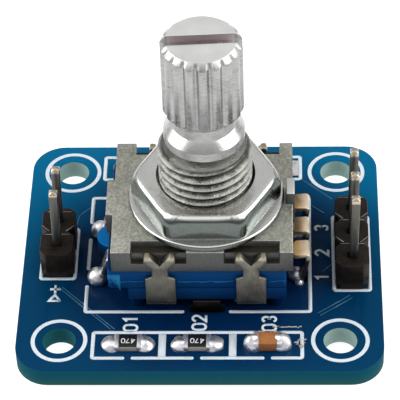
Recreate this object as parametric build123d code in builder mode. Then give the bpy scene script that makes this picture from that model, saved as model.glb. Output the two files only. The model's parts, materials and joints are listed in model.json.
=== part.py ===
from build123d import *
import os

# Push-switch rotary encoder on its small circuit board.
# Millimetres. The origin is the centre of the board's four mounting holes, on the board's
# underside. +X is to the right, +Y to the back and +Z up along the shaft.

os.makedirs("parts", exist_ok=True)

# ---------------------------------------------------------------- driving dimensions

BOARD_W = 27.5
BOARD_D = 24.0
BOARD_T = 1.6
BOARD_CORNER_R = 2.5
HOLE_PITCH_X = 21.0
HOLE_PITCH_Y = 18.0
HOLE_D = 2.5
PIN_HOLE_D = 1.0
TAIL_Z = -1.4                # every pin and lug is cut off here, under the board

ENC_X = 0.5                  # the encoder's axis on the board
ENC_Y = -0.1
MOUNT_FACE_Z = 7.9           # the die-cast plate's top face
PLATE_T = 2.0
PLATE_LEFT = -7.0            # plate sides, from the axis
PLATE_RIGHT = 6.5
PLATE_HALF_D = 5.9
BUSHING_R = 3.5              # M7 x 0.75
THREAD_PITCH_R = 3.25        # the nut and the bushing meet here, half-way down the thread
THREAD_CLEARANCE = 0.05
BUSHING_H = 5.7
BUSHING_CHAMFER = 0.35
PARTING_Z = 4.0              # where the two blue mouldings meet
BASE_Z = 2.5                 # underside of the lower moulding
HOUSING_HALF_D = 5.8
HOUSING_RIGHT = 6.0
HOUSING_LEFT = -7.35
HOUSING_CORNER_R = 0.3
BASE_LEFT = -5.85

SHAFT_R = 3.0
SHAFT_TOP_Z = 23.5
KNURL_H = 6.5
KNURL_TEETH = 18
STEM_R = 2.2
FIT = 0.03                   # radial running clearance
PUSH_TRAVEL = 0.5
DETENTS = 20

NUT_AF = 10.0
NUT_T = 2.0
WASHER_R = 5.85
WASHER_T = 0.5

STRAP_T = 0.3
LEG_X = 3.38                 # strap legs, from the axis
LEG_W = 2.25
LUG_Y = 5.6
LUG_W = 2.1

TERMINAL_PITCH = 2.5
TERMINAL_T = 0.3
TERMINAL_W = 1.2
TERMINAL_BEND_R = 0.36       # outside the bend
TERMINAL_PIN_W = 0.8
TERMINAL_STEP_Z = BOARD_T + 0.4   # the wide strip narrows to its pin here
SIGNAL_LEG_X = 7.2           # centre of the three signal legs, from the axis
SWITCH_LEG_X = -8.2          # centre of the two switch legs, from the axis

HEADER_PITCH = 2.54
HEADER_H = 2.5
HEADER_PIN = 0.64
HEADER_PIN_TOP = 10.1
POWER_HEADER_X = -11.0
SIGNAL_HEADER_X = 11.5

CHIP_L = 2.0
CHIP_W = 1.25
CHIP_EDGE_R = 0.06
RESISTOR_T = 0.5
CAPACITOR_T = 0.85
CHIP_ROW_Y = 9.45
CHIP_XS = (-5.3, -0.15, 5.1)

# ---------------------------------------------------------------- worked-out places

PLATE_Z = MOUNT_FACE_Z - PLATE_T
BUSHING_TOP_Z = MOUNT_FACE_Z + BUSHING_H
NUT_Z = MOUNT_FACE_Z + WASHER_T
SIGNAL_YS = (TERMINAL_PITCH, 0.0, -TERMINAL_PITCH)
SWITCH_YS = (TERMINAL_PITCH, -TERMINAL_PITCH)
BORE_R = STEM_R + FIT
CUT = 20.0                   # longer than any feature it cuts through


def level(z):
    """Horizontal sketch plane on the encoder's axis."""
    return Plane((ENC_X, ENC_Y, z))


def upright(x):
    """Sketch plane across the encoder at x from its axis: local x runs to the back, local y up."""
    return Plane(origin=(ENC_X + x, ENC_Y, 0), x_dir=(0, 1, 0), z_dir=(1, 0, 0))


def facing(y):
    """Sketch plane parallel to the encoder's front at y from its axis: local y runs up."""
    return Plane(origin=(ENC_X, ENC_Y + y, 0), x_dir=(1, 0, 0), z_dir=(0, -1, 0))


def span(x0, x1, y0, y1, mode=Mode.ADD):
    """Rectangle given by its sides."""
    with Locations(((x0 + x1) / 2, (y0 + y1) / 2)):
        Rectangle(x1 - x0, y1 - y0, mode=mode)


def save(builder, name):
    builder.part.label = name
    export_step(builder.part, f"parts/{name}.step")


# ---------------------------------------------------------------- circuit board

HEADER_PINS = {
    "power": [(POWER_HEADER_X, y * HEADER_PITCH) for y in (0.5, -0.5)],
    "signal": [(SIGNAL_HEADER_X, y * HEADER_PITCH) for y in (1, 0, -1)],
}
SIGNAL_PINS = [(ENC_X + SIGNAL_LEG_X, ENC_Y + y) for y in SIGNAL_YS]
SWITCH_PINS = [(ENC_X + SWITCH_LEG_X, ENC_Y + y) for y in SWITCH_YS]
LUGS = [(ENC_X, ENC_Y - LUG_Y), (ENC_X, ENC_Y + LUG_Y)]
LUG_SLOT_L = 2.9
LUG_SLOT_W = 0.9

with BuildPart() as circuit_board:
    with BuildSketch(Plane.XY):
        RectangleRounded(BOARD_W, BOARD_D, BOARD_CORNER_R)
        with GridLocations(HOLE_PITCH_X, HOLE_PITCH_Y, 2, 2):
            Circle(HOLE_D / 2, mode=Mode.SUBTRACT)
        with Locations(*HEADER_PINS["power"], *HEADER_PINS["signal"], *SIGNAL_PINS, *SWITCH_PINS):
            Circle(PIN_HOLE_D / 2, mode=Mode.SUBTRACT)
        with Locations(*LUGS):
            SlotOverall(LUG_SLOT_L, LUG_SLOT_W, mode=Mode.SUBTRACT)
    extrude(amount=BOARD_T)
save(circuit_board, "circuit_board")

# ---------------------------------------------------------------- die-cast plate and bushing

TAB_OUT = 0.55               # the plate's left tab
TAB_HALF = 1.9
PIP_W = 0.65                 # anti-rotation pip on the right edge
PIP_D = 1.0
PIP_H = 1.5
PIP_OUT = 0.15
POCKET_X0 = 1.4              # pockets for the strap's forks, from the axis
POCKET_X1 = 5.5
POCKET_DEEP_Y = 5.4
POCKET_SHALLOW_Y = 4.65
POCKET_DEEP_Z = 6.75
POCKET_SHALLOW_Z = 7.4
RECESS_R = 4.45
RECESS_TOP_Z = 6.9

with BuildPart() as bushing_plate:
    with BuildSketch(level(PLATE_Z)):
        span(PLATE_LEFT, PLATE_RIGHT, -PLATE_HALF_D, PLATE_HALF_D)
        span(PLATE_LEFT - TAB_OUT, PLATE_LEFT, -TAB_HALF, TAB_HALF)
        span(PLATE_RIGHT, PLATE_RIGHT + PIP_OUT, -PIP_D / 2, PIP_D / 2)
    extrude(amount=PLATE_T)
    with BuildSketch(level(PLATE_Z)):
        Circle(RECESS_R)
    extrude(amount=RECESS_TOP_Z - PLATE_Z, mode=Mode.SUBTRACT)
    for side in (-1, 1):
        for x0, x1 in ((-POCKET_X1, -POCKET_X0), (POCKET_X0, POCKET_X1)):
            deep = sorted((side * POCKET_DEEP_Y, side * PLATE_HALF_D))
            shallow = sorted((side * POCKET_SHALLOW_Y, side * PLATE_HALF_D))
            with BuildSketch(level(POCKET_DEEP_Z)):
                span(x0, x1, *deep)
            extrude(amount=MOUNT_FACE_Z - POCKET_DEEP_Z, mode=Mode.SUBTRACT)
            with BuildSketch(level(POCKET_SHALLOW_Z)):
                span(x0, x1, *shallow)
            extrude(amount=MOUNT_FACE_Z - POCKET_SHALLOW_Z, mode=Mode.SUBTRACT)
    with BuildSketch(level(MOUNT_FACE_Z)):
        span(PLATE_RIGHT + PIP_OUT - PIP_W, PLATE_RIGHT + PIP_OUT, -PIP_D / 2, PIP_D / 2)
    extrude(amount=PIP_H)
    with BuildSketch(level(RECESS_TOP_Z)):
        Circle(BUSHING_R)
    extrude(amount=BUSHING_TOP_Z - RECESS_TOP_Z)
    chamfer(bushing_plate.faces().filter_by(Axis.Z).sort_by(Axis.Z)[-1].edges(), BUSHING_CHAMFER)
    with BuildSketch(level(NUT_Z)):
        Circle(BUSHING_R)
        Circle(THREAD_PITCH_R, mode=Mode.SUBTRACT)
    extrude(amount=NUT_T, mode=Mode.SUBTRACT)
    with BuildSketch(level(RECESS_TOP_Z)):
        Circle(BORE_R)
    extrude(amount=CUT, mode=Mode.SUBTRACT)
save(bushing_plate, "bushing_plate")

# ---------------------------------------------------------------- washer and nut

NUT_CHAMFER_R = 5.35         # the cone that takes the nut's corners off

with BuildPart() as mounting_washer:
    with BuildSketch(level(MOUNT_FACE_Z)):
        Circle(WASHER_R)
        Circle(BUSHING_R + THREAD_CLEARANCE, mode=Mode.SUBTRACT)
    extrude(amount=WASHER_T)
save(mounting_washer, "mounting_washer")

with BuildPart() as mounting_nut:
    with BuildSketch(level(NUT_Z)):
        RegularPolygon(NUT_AF / 2, 6, major_radius=False)
    extrude(amount=NUT_T)
    with BuildSketch(level(NUT_Z)):
        Circle(NUT_CHAMFER_R + NUT_T)
    extrude(amount=NUT_T, taper=45, mode=Mode.INTERSECT)
    with BuildSketch(level(NUT_Z)):
        Circle(THREAD_PITCH_R + THREAD_CLEARANCE)
    extrude(amount=NUT_T, mode=Mode.SUBTRACT)
save(mounting_nut, "mounting_nut")

# ---------------------------------------------------------------- shaft

KNURL_Z = SHAFT_TOP_Z - KNURL_H
KNURL_GROOVE = 0.4           # side of the square groove, cut corner first
KNURL_TOP_CHAMFER = 0.45
KNURL_END_CHAMFER = 0.3
NECK_R = 2.4
COLLAR_TOP_Z = 15.7
COLLAR_Z = 14.3              # stands clear of the bushing by more than the push travel
COLLAR_CHAMFER_R = 0.25
COLLAR_CHAMFER_H = 0.5
SLOT_W = 1.0
SLOT_DEPTH = 1.3
CLIP_TOP_Z = 6.85
CLIP_T = 0.4
CLIP_GROOVE_R = 1.7
DRIVE_R = 1.95               # the driving end, flattened on two sides
DRIVE_FLAT = 1.4
SHAFT_END_Z = 5.05

with BuildPart() as shaft:
    with BuildSketch(level(KNURL_Z)):
        Circle(SHAFT_R)
        with PolarLocations(SHAFT_R, KNURL_TEETH):
            Rectangle(KNURL_GROOVE, KNURL_GROOVE, rotation=45, mode=Mode.SUBTRACT)
    extrude(amount=KNURL_H)
    with BuildSketch(upright(0)):
        with BuildLine():
            Polyline(
                (0, KNURL_Z),
                (SHAFT_R - KNURL_END_CHAMFER, KNURL_Z),
                (SHAFT_R, KNURL_Z + KNURL_END_CHAMFER),
                (SHAFT_R, SHAFT_TOP_Z - KNURL_TOP_CHAMFER),
                (SHAFT_R - KNURL_TOP_CHAMFER, SHAFT_TOP_Z),
                (0, SHAFT_TOP_Z),
                close=True,
            )
        make_face()
    revolve(axis=Axis((ENC_X, ENC_Y, 0), (0, 0, 1)), mode=Mode.INTERSECT)
    with BuildSketch(upright(0)):
        with BuildLine():
            Polyline(
                (0, SHAFT_END_Z),
                (DRIVE_R, SHAFT_END_Z),
                (DRIVE_R, CLIP_TOP_Z - CLIP_T),
                (CLIP_GROOVE_R, CLIP_TOP_Z - CLIP_T),
                (CLIP_GROOVE_R, CLIP_TOP_Z),
                (STEM_R, CLIP_TOP_Z),
                (STEM_R, COLLAR_Z),
                (SHAFT_R, COLLAR_Z),
                (SHAFT_R, COLLAR_TOP_Z - COLLAR_CHAMFER_H),
                (SHAFT_R - COLLAR_CHAMFER_R, COLLAR_TOP_Z),
                (NECK_R, COLLAR_TOP_Z),
                (NECK_R, KNURL_Z),
                (0, KNURL_Z),
                close=True,
            )
        make_face()
    revolve(axis=Axis((ENC_X, ENC_Y, 0), (0, 0, 1)))
    with BuildSketch(level(SHAFT_TOP_Z)):
        Rectangle(CUT, SLOT_W)
    extrude(amount=-SLOT_DEPTH, mode=Mode.SUBTRACT)
    with BuildSketch(level(SHAFT_END_Z)):
        for side in (-1, 1):
            with Locations((0, side * (DRIVE_FLAT + DRIVE_R))):
                Rectangle(CUT, 2 * DRIVE_R)
    extrude(amount=CLIP_TOP_Z - CLIP_T - SHAFT_END_Z, mode=Mode.SUBTRACT)
save(shaft, "shaft")

CLIP_R = 2.9
CLIP_GAP = 2.4

with BuildPart() as shaft_clip:
    with BuildSketch(level(CLIP_TOP_Z - CLIP_T)):
        Circle(CLIP_R)
        Circle(CLIP_GROOVE_R, mode=Mode.SUBTRACT)
        span(0, CUT, -CLIP_GAP / 2, CLIP_GAP / 2, mode=Mode.SUBTRACT)
    extrude(amount=CLIP_T)
save(shaft_clip, "shaft_clip")

# ---------------------------------------------------------------- rotor, code ring, detent spring

CAVITY_R = 4.5
CAVITY_Z = 4.5
CODE_RING_Z = 4.95
CODE_RING_T = 0.1
ROTOR_R = CAVITY_R - 0.05
ROTOR_Z = CODE_RING_Z + CODE_RING_T
ROTOR_DISC_T = 0.55
HUB_R = 2.6
HUB_TOP_Z = 5.85
DETENT_R = 3.85
DETENT_L = 0.7
DETENT_W = 0.45
DETENT_H = 0.15
DETENT_TURN = 180 / DETENTS  # puts a gap, not a tooth, under the spring's feet

with BuildPart() as rotor:
    with BuildSketch(level(ROTOR_Z)):
        Circle(ROTOR_R)
    extrude(amount=ROTOR_DISC_T)
    with BuildSketch(level(ROTOR_Z)):
        Circle(HUB_R)
    extrude(amount=HUB_TOP_Z - ROTOR_Z)
    with BuildSketch(level(ROTOR_Z + ROTOR_DISC_T)):
        with PolarLocations(DETENT_R, DETENTS, start_angle=DETENT_TURN):
            Rectangle(DETENT_L, DETENT_W)
    extrude(amount=DETENT_H)
    with BuildSketch(level(ROTOR_Z)):
        Circle(DRIVE_R + FIT)
        Rectangle(CUT, 2 * (DRIVE_FLAT + FIT), mode=Mode.INTERSECT)
    extrude(amount=HUB_TOP_Z - ROTOR_Z, mode=Mode.SUBTRACT)
save(rotor, "rotor")

CODE_OUTER_R = 4.3
CODE_INNER_R = 2.3
CODE_TRACK_R = 3.75
CODE_WINDOW_L = 0.8
CODE_WINDOW_W = 0.55

with BuildPart() as code_ring:
    with BuildSketch(level(CODE_RING_Z)):
        Circle(CODE_OUTER_R)
        Circle(CODE_INNER_R, mode=Mode.SUBTRACT)
        with PolarLocations(CODE_TRACK_R, DETENTS):
            Rectangle(CODE_WINDOW_L, CODE_WINDOW_W, mode=Mode.SUBTRACT)
    extrude(amount=CODE_RING_T)
save(code_ring, "code_ring")

SPRING_T = 0.2
SPRING_OUTER_R = 4.3
SPRING_INNER_R = 3.3
SPRING_LEAF_T = 0.15
SPRING_SPREAD = 1.1
SPRING_FOOT_Z = 5.68
SPRING_FOOT_R = 0.3
LEAF_R0 = 3.5
LEAF_R1 = 4.15

with BuildPart() as detent_spring:
    with BuildSketch(level(RECESS_TOP_Z - SPRING_T)):
        Circle(SPRING_OUTER_R)
        Circle(SPRING_INNER_R, mode=Mode.SUBTRACT)
    extrude(amount=SPRING_T)
    for side in (-1, 1):
        with BuildSketch(facing(-side * LEAF_R1)):
            with BuildLine():
                FilletPolyline(
                    (-SPRING_SPREAD, RECESS_TOP_Z - SPRING_T),
                    (0, SPRING_FOOT_Z),
                    (SPRING_SPREAD, RECESS_TOP_Z - SPRING_T),
                    radius=SPRING_FOOT_R,
                )
            trace(line_width=SPRING_LEAF_T)
        extrude(amount=side * (LEAF_R0 - LEAF_R1))
save(detent_spring, "detent_spring")

# ---------------------------------------------------------------- signal terminals

STRIP_END_X = 2.5            # inner end of the strips, from the axis
BRUSH_X = 2.9
BRUSH_L = 0.7
BRUSH_W = 0.5
BRUSH_H = CODE_RING_Z - CAVITY_Z - TERMINAL_T
BRUSH_SLOPE = 40


def bent_terminal(y, inner_x, leg_x, bottom_z):
    """Flat strip that runs out from inner_x, turns down at leg_x and ends as a pin."""
    out = 1 if leg_x > inner_x else -1
    face_x = leg_x + out * TERMINAL_T / 2
    with BuildPart() as blank:
        with BuildSketch(facing(y + TERMINAL_W / 2)):
            span(*sorted((inner_x, face_x)), bottom_z, bottom_z + TERMINAL_T)
            span(*sorted((face_x - out * TERMINAL_T, face_x)), TAIL_Z, bottom_z + TERMINAL_T)
        extrude(amount=TERMINAL_W)
        bend = blank.edges().filter_by(Axis.Y).group_by(Axis.Z)[-1].sort_by(Axis.X)
        fillet(bend[-1] if out > 0 else bend[0], TERMINAL_BEND_R)
        with BuildSketch(upright(face_x)):
            for side in (-1, 1):
                with Locations((y + side * (TERMINAL_PIN_W + CUT) / 2, TERMINAL_STEP_Z - CUT / 2)):
                    Rectangle(CUT, CUT)
        extrude(amount=-out * TERMINAL_T, mode=Mode.SUBTRACT)
    return blank.part


for name, y in zip(("terminal_b", "terminal_common", "terminal_a"), SIGNAL_YS):
    strip = bent_terminal(y, STRIP_END_X, SIGNAL_LEG_X, CAVITY_Z)
    with BuildPart() as terminal:
        add(strip)
        with BuildSketch(facing(y + BRUSH_W / 2)):
            with Locations((BRUSH_X, CAVITY_Z + TERMINAL_T)):
                Trapezoid(BRUSH_L, BRUSH_H, BRUSH_SLOPE, align=(Align.CENTER, Align.MIN))
        extrude(amount=BRUSH_W)
    save(terminal, name)

# ---------------------------------------------------------------- switch terminals

DOME_FLOOR_Z = 3.0
SWITCH_STRIP_END_X = -2.5
PAD_T = 0.2
CENTRE_STRIP_Z = 2.65
CENTRE_POST_R = 0.5
CENTRE_POST_TOP_Z = 2.95     # the dome reaches it at full travel
CENTRE_STRIP_HALF = 0.4
LEG_Y0 = TERMINAL_PITCH - TERMINAL_W / 2
LEG_Y1 = TERMINAL_PITCH + TERMINAL_W / 2
RIM_PAD_END_X = -1.2

strip = bent_terminal(TERMINAL_PITCH, SWITCH_STRIP_END_X, SWITCH_LEG_X, PARTING_Z)
with BuildPart() as switch_terminal_back:
    add(strip)
    with BuildSketch(level(CENTRE_STRIP_Z)):
        span(SWITCH_STRIP_END_X, SWITCH_STRIP_END_X + TERMINAL_T, LEG_Y0, LEG_Y1)
    extrude(amount=PARTING_Z + TERMINAL_T - CENTRE_STRIP_Z)
    with BuildSketch(level(CENTRE_STRIP_Z)):
        span(SWITCH_STRIP_END_X, SWITCH_STRIP_END_X + TERMINAL_W, -CENTRE_STRIP_HALF, LEG_Y1)
        span(SWITCH_STRIP_END_X, 0, -CENTRE_STRIP_HALF, CENTRE_STRIP_HALF)
        Circle(CENTRE_POST_R)
    extrude(amount=PAD_T)
    with BuildSketch(level(CENTRE_STRIP_Z)):
        Circle(CENTRE_POST_R)
    extrude(amount=CENTRE_POST_TOP_Z - CENTRE_STRIP_Z)
save(switch_terminal_back, "switch_terminal_back")

strip = bent_terminal(-TERMINAL_PITCH, SWITCH_STRIP_END_X, SWITCH_LEG_X, PARTING_Z)
with BuildPart() as switch_terminal_front:
    add(strip)
    with BuildSketch(level(DOME_FLOOR_Z - PAD_T)):
        span(SWITCH_STRIP_END_X, SWITCH_STRIP_END_X + TERMINAL_T, -LEG_Y1, -LEG_Y0)
    extrude(amount=PARTING_Z + TERMINAL_T - DOME_FLOOR_Z + PAD_T)
    with BuildSketch(level(DOME_FLOOR_Z - PAD_T)):
        span(SWITCH_STRIP_END_X, RIM_PAD_END_X, -LEG_Y1, -LEG_Y0)
    extrude(amount=PAD_T)
save(switch_terminal_front, "switch_terminal_front")

# ---------------------------------------------------------------- blue mouldings

PLUNGER_STEM_R = 1.0
PLUNGER_FLANGE_R = 1.6
PLUNGER_FLANGE_Z = 3.55
PLUNGER_FLANGE_T = 0.35
DOME_CAVITY_R = 3.2
BOSS_R = 1.25                # rounded tab between the switch legs
BOSS_CENTRE_X = -7.25
BOSS_TOP_Z = 3.7
FOOT_R = 0.5
FOOT_X = 5.3
FOOT_Y = 4.9
BASE_EDGE_R = 0.5

with BuildPart() as contact_housing:
    with BuildSketch(level(PARTING_Z)):
        span(HOUSING_LEFT, HOUSING_RIGHT, -HOUSING_HALF_D, HOUSING_HALF_D)
    extrude(amount=PLATE_Z - PARTING_Z)
    fillet(contact_housing.edges().filter_by(Axis.Z), HOUSING_CORNER_R)
    with BuildSketch(level(CAVITY_Z)):
        Circle(CAVITY_R)
    extrude(amount=PLATE_Z - CAVITY_Z, mode=Mode.SUBTRACT)
    with BuildSketch(level(PARTING_Z)):
        Circle(PLUNGER_STEM_R + FIT)
    extrude(amount=CAVITY_Z - PARTING_Z, mode=Mode.SUBTRACT)
    with BuildSketch(level(CAVITY_Z)):
        for y in SIGNAL_YS:
            span(STRIP_END_X, HOUSING_RIGHT, y - TERMINAL_W / 2, y + TERMINAL_W / 2)
    extrude(amount=TERMINAL_T, mode=Mode.SUBTRACT)
    with BuildSketch(level(PARTING_Z)):
        for y in SWITCH_YS:
            span(HOUSING_LEFT, SWITCH_STRIP_END_X + TERMINAL_T, y - TERMINAL_W / 2, y + TERMINAL_W / 2)
    extrude(amount=TERMINAL_T, mode=Mode.SUBTRACT)
save(contact_housing, "contact_housing")

with BuildPart() as switch_base:
    with BuildSketch(level(BASE_Z)):
        span(BASE_LEFT, HOUSING_RIGHT, -HOUSING_HALF_D, HOUSING_HALF_D)
    extrude(amount=PARTING_Z - BASE_Z)
    fillet(switch_base.edges().filter_by(Axis.X).group_by(Axis.Z)[0], BASE_EDGE_R)
    with BuildSketch(level(BASE_Z)):
        span(BOSS_CENTRE_X, BASE_LEFT, -BOSS_R, BOSS_R)
        with Locations((BOSS_CENTRE_X, 0)):
            Circle(BOSS_R)
    extrude(amount=BOSS_TOP_Z - BASE_Z)
    with BuildSketch(level(BOARD_T)):
        with GridLocations(2 * FOOT_X, 2 * FOOT_Y, 2, 2):
            Circle(FOOT_R)
    extrude(amount=BASE_Z + BASE_EDGE_R - BOARD_T)
    with BuildSketch(level(DOME_FLOOR_Z)):
        Circle(DOME_CAVITY_R)
    extrude(amount=PARTING_Z - DOME_FLOOR_Z, mode=Mode.SUBTRACT)
    with BuildSketch(level(CENTRE_STRIP_Z)):
        span(SWITCH_STRIP_END_X, SWITCH_STRIP_END_X + TERMINAL_W, -CENTRE_STRIP_HALF, LEG_Y1)
        span(SWITCH_STRIP_END_X, 0, -CENTRE_STRIP_HALF, CENTRE_STRIP_HALF)
        Circle(CENTRE_POST_R)
    extrude(amount=PARTING_Z - CENTRE_STRIP_Z, mode=Mode.SUBTRACT)
    with BuildSketch(level(DOME_FLOOR_Z - PAD_T)):
        span(SWITCH_STRIP_END_X, RIM_PAD_END_X, -LEG_Y1, -LEG_Y0)
    extrude(amount=PARTING_Z - DOME_FLOOR_Z + PAD_T, mode=Mode.SUBTRACT)
save(switch_base, "switch_base")

# ---------------------------------------------------------------- push switch

DOME_R = 2.6
DOME_T = 0.1

with BuildPart() as switch_dome:
    with BuildSketch(upright(0)):
        with BuildLine():
            ThreePointArc((-DOME_R, DOME_FLOOR_Z), (0, PLUNGER_FLANGE_Z), (DOME_R, DOME_FLOOR_Z))
            Line((DOME_R, DOME_FLOOR_Z), (DOME_R - DOME_T, DOME_FLOOR_Z))
            ThreePointArc(
                (DOME_R - DOME_T, DOME_FLOOR_Z),
                (0, PLUNGER_FLANGE_Z - DOME_T),
                (DOME_T - DOME_R, DOME_FLOOR_Z),
            )
            Line((DOME_T - DOME_R, DOME_FLOOR_Z), (-DOME_R, DOME_FLOOR_Z))
        make_face()
        span(-CUT, 0, 0, CUT, mode=Mode.SUBTRACT)
    revolve(axis=Axis((ENC_X, ENC_Y, 0), (0, 0, 1)))
save(switch_dome, "switch_dome")

with BuildPart() as switch_plunger:
    with BuildSketch(level(PLUNGER_FLANGE_Z)):
        Circle(PLUNGER_FLANGE_R)
    extrude(amount=PLUNGER_FLANGE_T)
    with BuildSketch(level(PLUNGER_FLANGE_Z)):
        Circle(PLUNGER_STEM_R)
    extrude(amount=SHAFT_END_Z - PLUNGER_FLANGE_Z)
save(switch_plunger, "switch_plunger")

# ---------------------------------------------------------------- steel strap

LEG_OUT = PLATE_HALF_D + STRAP_T     # outer face of the legs, from the axis
LEG_SHOULDER_Z = 5.35
STRAP_BEND_R = 0.65                  # at mid-thickness
NECK_HALF = 0.6
NECK_Z = 5.55
FORK_FLARE_Z = 6.4                   # the prongs start to spread here
FORK_ROOT_Z = 6.7                    # bottom of the notch between the prongs
FORK_FULL_Z = 7.1
FORK_TIP_Z = 7.6
FORK_SPREAD = 1.2
FORK_TIP_OUTER = 1.1
FORK_TIP_INNER = 0.75
FORK_HOOK_Z = 6.8                    # above this the prongs are bent into the pockets
FORK_INNER_Y = 5.55                  # how far the fork's tips reach into the pockets
WEB_HALF = 1.5
STRAP_Z = BASE_Z - STRAP_T
HALF_LEG = LEG_W / 2


def fork_outline(x):
    """Front view of the leg at x, above its bend: a neck that splits into two spread prongs."""
    right = [
        (HALF_LEG, STRAP_Z + 2 * STRAP_BEND_R),
        (HALF_LEG, LEG_SHOULDER_Z),
        (NECK_HALF, NECK_Z),
        (NECK_HALF, FORK_FLARE_Z),
        (FORK_SPREAD, FORK_FULL_Z),
        (FORK_TIP_OUTER, FORK_TIP_Z),
        (FORK_TIP_INNER, FORK_TIP_Z),
    ]
    left = [(-half, z) for half, z in reversed(right)]
    return [(x + half, z) for half, z in right + [(0, FORK_ROOT_Z)] + left]


with BuildPart() as steel_strap:
    for x in (-LEG_X, LEG_X):
        with BuildSketch(upright(x - HALF_LEG)):
            with BuildLine():
                FilletPolyline(
                    (-LEG_OUT + STRAP_T / 2, LEG_SHOULDER_Z),
                    (-LEG_OUT + STRAP_T / 2, STRAP_Z + STRAP_T / 2),
                    (LEG_OUT - STRAP_T / 2, STRAP_Z + STRAP_T / 2),
                    (LEG_OUT - STRAP_T / 2, LEG_SHOULDER_Z),
                    radius=STRAP_BEND_R,
                )
            trace(line_width=STRAP_T)
        extrude(amount=LEG_W)
        for side in (-1, 1):
            with BuildSketch(facing(side * LEG_OUT)):
                with BuildLine():
                    Polyline(*fork_outline(x), close=True)
                make_face()
            extrude(amount=side * STRAP_T)
            with BuildSketch(facing(side * (LEG_OUT - STRAP_T))):
                with BuildLine():
                    Polyline(*fork_outline(x), close=True)
                make_face()
                span(x - LEG_W, x + LEG_W, 0, FORK_HOOK_Z, mode=Mode.SUBTRACT)
            extrude(amount=side * (LEG_OUT - STRAP_T - FORK_INNER_Y))
    with BuildSketch(level(STRAP_Z)):
        span(-LEG_X, LEG_X, -WEB_HALF, WEB_HALF)
        span(-LUG_W / 2, LUG_W / 2, -LUG_Y - STRAP_T / 2, LUG_Y + STRAP_T / 2)
    extrude(amount=STRAP_T)
    with BuildSketch(level(STRAP_Z)):
        with GridLocations(0, 2 * LUG_Y, 1, 2):
            Rectangle(LUG_W, STRAP_T)
    extrude(amount=TAIL_Z - STRAP_Z)
save(steel_strap, "steel_strap")

# ---------------------------------------------------------------- pin headers

HEADER_NICK = 0.65           # side of the square nick between neighbouring blocks
PIN_POINT = 0.18

for name, places in HEADER_PINS.items():
    with BuildPart() as header_body:
        with BuildSketch(Plane.XY.offset(BOARD_T)):
            with Locations(*places):
                Rectangle(HEADER_PITCH, HEADER_PITCH)
        extrude(amount=HEADER_H)
        with BuildSketch(Plane.XY.offset(BOARD_T)):
            with Locations(*places):
                with GridLocations(HEADER_PITCH, HEADER_PITCH, 2, 2):
                    Rectangle(HEADER_NICK, HEADER_NICK, rotation=45)
            with Locations(*places):
                Rectangle(HEADER_PIN, HEADER_PIN)
        extrude(amount=HEADER_H, mode=Mode.SUBTRACT)
    save(header_body, f"{name}_header_body")

    with BuildPart() as header_pins:
        with BuildSketch(Plane.XY.offset(TAIL_Z)):
            with Locations(*places):
                Rectangle(HEADER_PIN, HEADER_PIN)
        extrude(amount=HEADER_PIN_TOP - TAIL_Z)
        chamfer(header_pins.faces().group_by(Axis.Z)[-1].edges(), PIN_POINT)
    save(header_pins, f"{name}_header_pins")

# ---------------------------------------------------------------- chip resistors and capacitors

CHIPS = {}
for row, side in (("front", -1), ("back", 1)):
    for seat, x in zip(("resistor_left", "resistor_middle", "capacitor"), CHIP_XS):
        thickness = CAPACITOR_T if seat == "capacitor" else RESISTOR_T
        CHIPS[f"{row}_{seat}"] = (x, side * CHIP_ROW_Y, thickness)

for name, (x, y, thickness) in CHIPS.items():
    with BuildPart() as chip:
        with BuildSketch(Plane.XY.offset(BOARD_T)):
            with Locations((x, y)):
                Rectangle(CHIP_L, CHIP_W)
        extrude(amount=thickness)
        fillet(chip.edges().filter_by(Axis.Y), CHIP_EDGE_R)
    save(chip, name)

# ---------------------------------------------------------------- solder

FILLET_L = 0.95
FILLET_W = 1.2
FILLET_H = 0.4
FILLET_TOE = 0.08
FILLET_TOP_L = 0.24
CONE_R = 0.95
CONE_TIP_R = 0.45
CONE_H = 0.8
SWITCH_BALL_R = 0.75
SWITCH_BALL_Z = 2.0
SIGNAL_BALL_R = 0.6
SIGNAL_BALL_Z = 1.8
LUG_SOLDER_H = 0.7
LUG_SOLDER_MARGIN = 0.25     # how far the solder spreads past the slot
LUG_SOLDER_TAPER = 20

with BuildPart() as chip_solder:
    for x, y, thickness in CHIPS.values():
        for side in (-1, 1):
            end = x + side * CHIP_L / 2
            with BuildSketch(Plane(origin=(0, y - FILLET_W / 2, 0), x_dir=(1, 0, 0), z_dir=(0, -1, 0))):
                with BuildLine():
                    Polyline(
                        (end, BOARD_T),
                        (end + side * FILLET_L, BOARD_T),
                        (end + side * FILLET_L, BOARD_T + FILLET_TOE),
                        (end + side * FILLET_TOP_L, BOARD_T + FILLET_H),
                        (end, BOARD_T + FILLET_H),
                        close=True,
                    )
                make_face()
            extrude(amount=-FILLET_W)
save(chip_solder, "chip_solder")

with BuildPart() as terminal_solder:
    with Locations(*[(x, y, SWITCH_BALL_Z) for x, y in SWITCH_PINS]):
        Sphere(SWITCH_BALL_R)
    with Locations(*[(x, y, SIGNAL_BALL_Z) for x, y in SIGNAL_PINS]):
        Sphere(SIGNAL_BALL_R)
    split(bisect_by=Plane.XY.offset(BOARD_T), keep=Keep.TOP)
    with BuildSketch(Plane.XY):
        with Locations(*SIGNAL_PINS, *SWITCH_PINS):
            Rectangle(TERMINAL_T, TERMINAL_PIN_W)
    extrude(amount=TERMINAL_STEP_Z, mode=Mode.SUBTRACT)
    with BuildSketch(Plane.XY.offset(TERMINAL_STEP_Z)):
        with Locations(*SIGNAL_PINS, *SWITCH_PINS):
            Rectangle(TERMINAL_T, TERMINAL_W)
    extrude(amount=CUT, mode=Mode.SUBTRACT)
save(terminal_solder, "terminal_solder")

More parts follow.
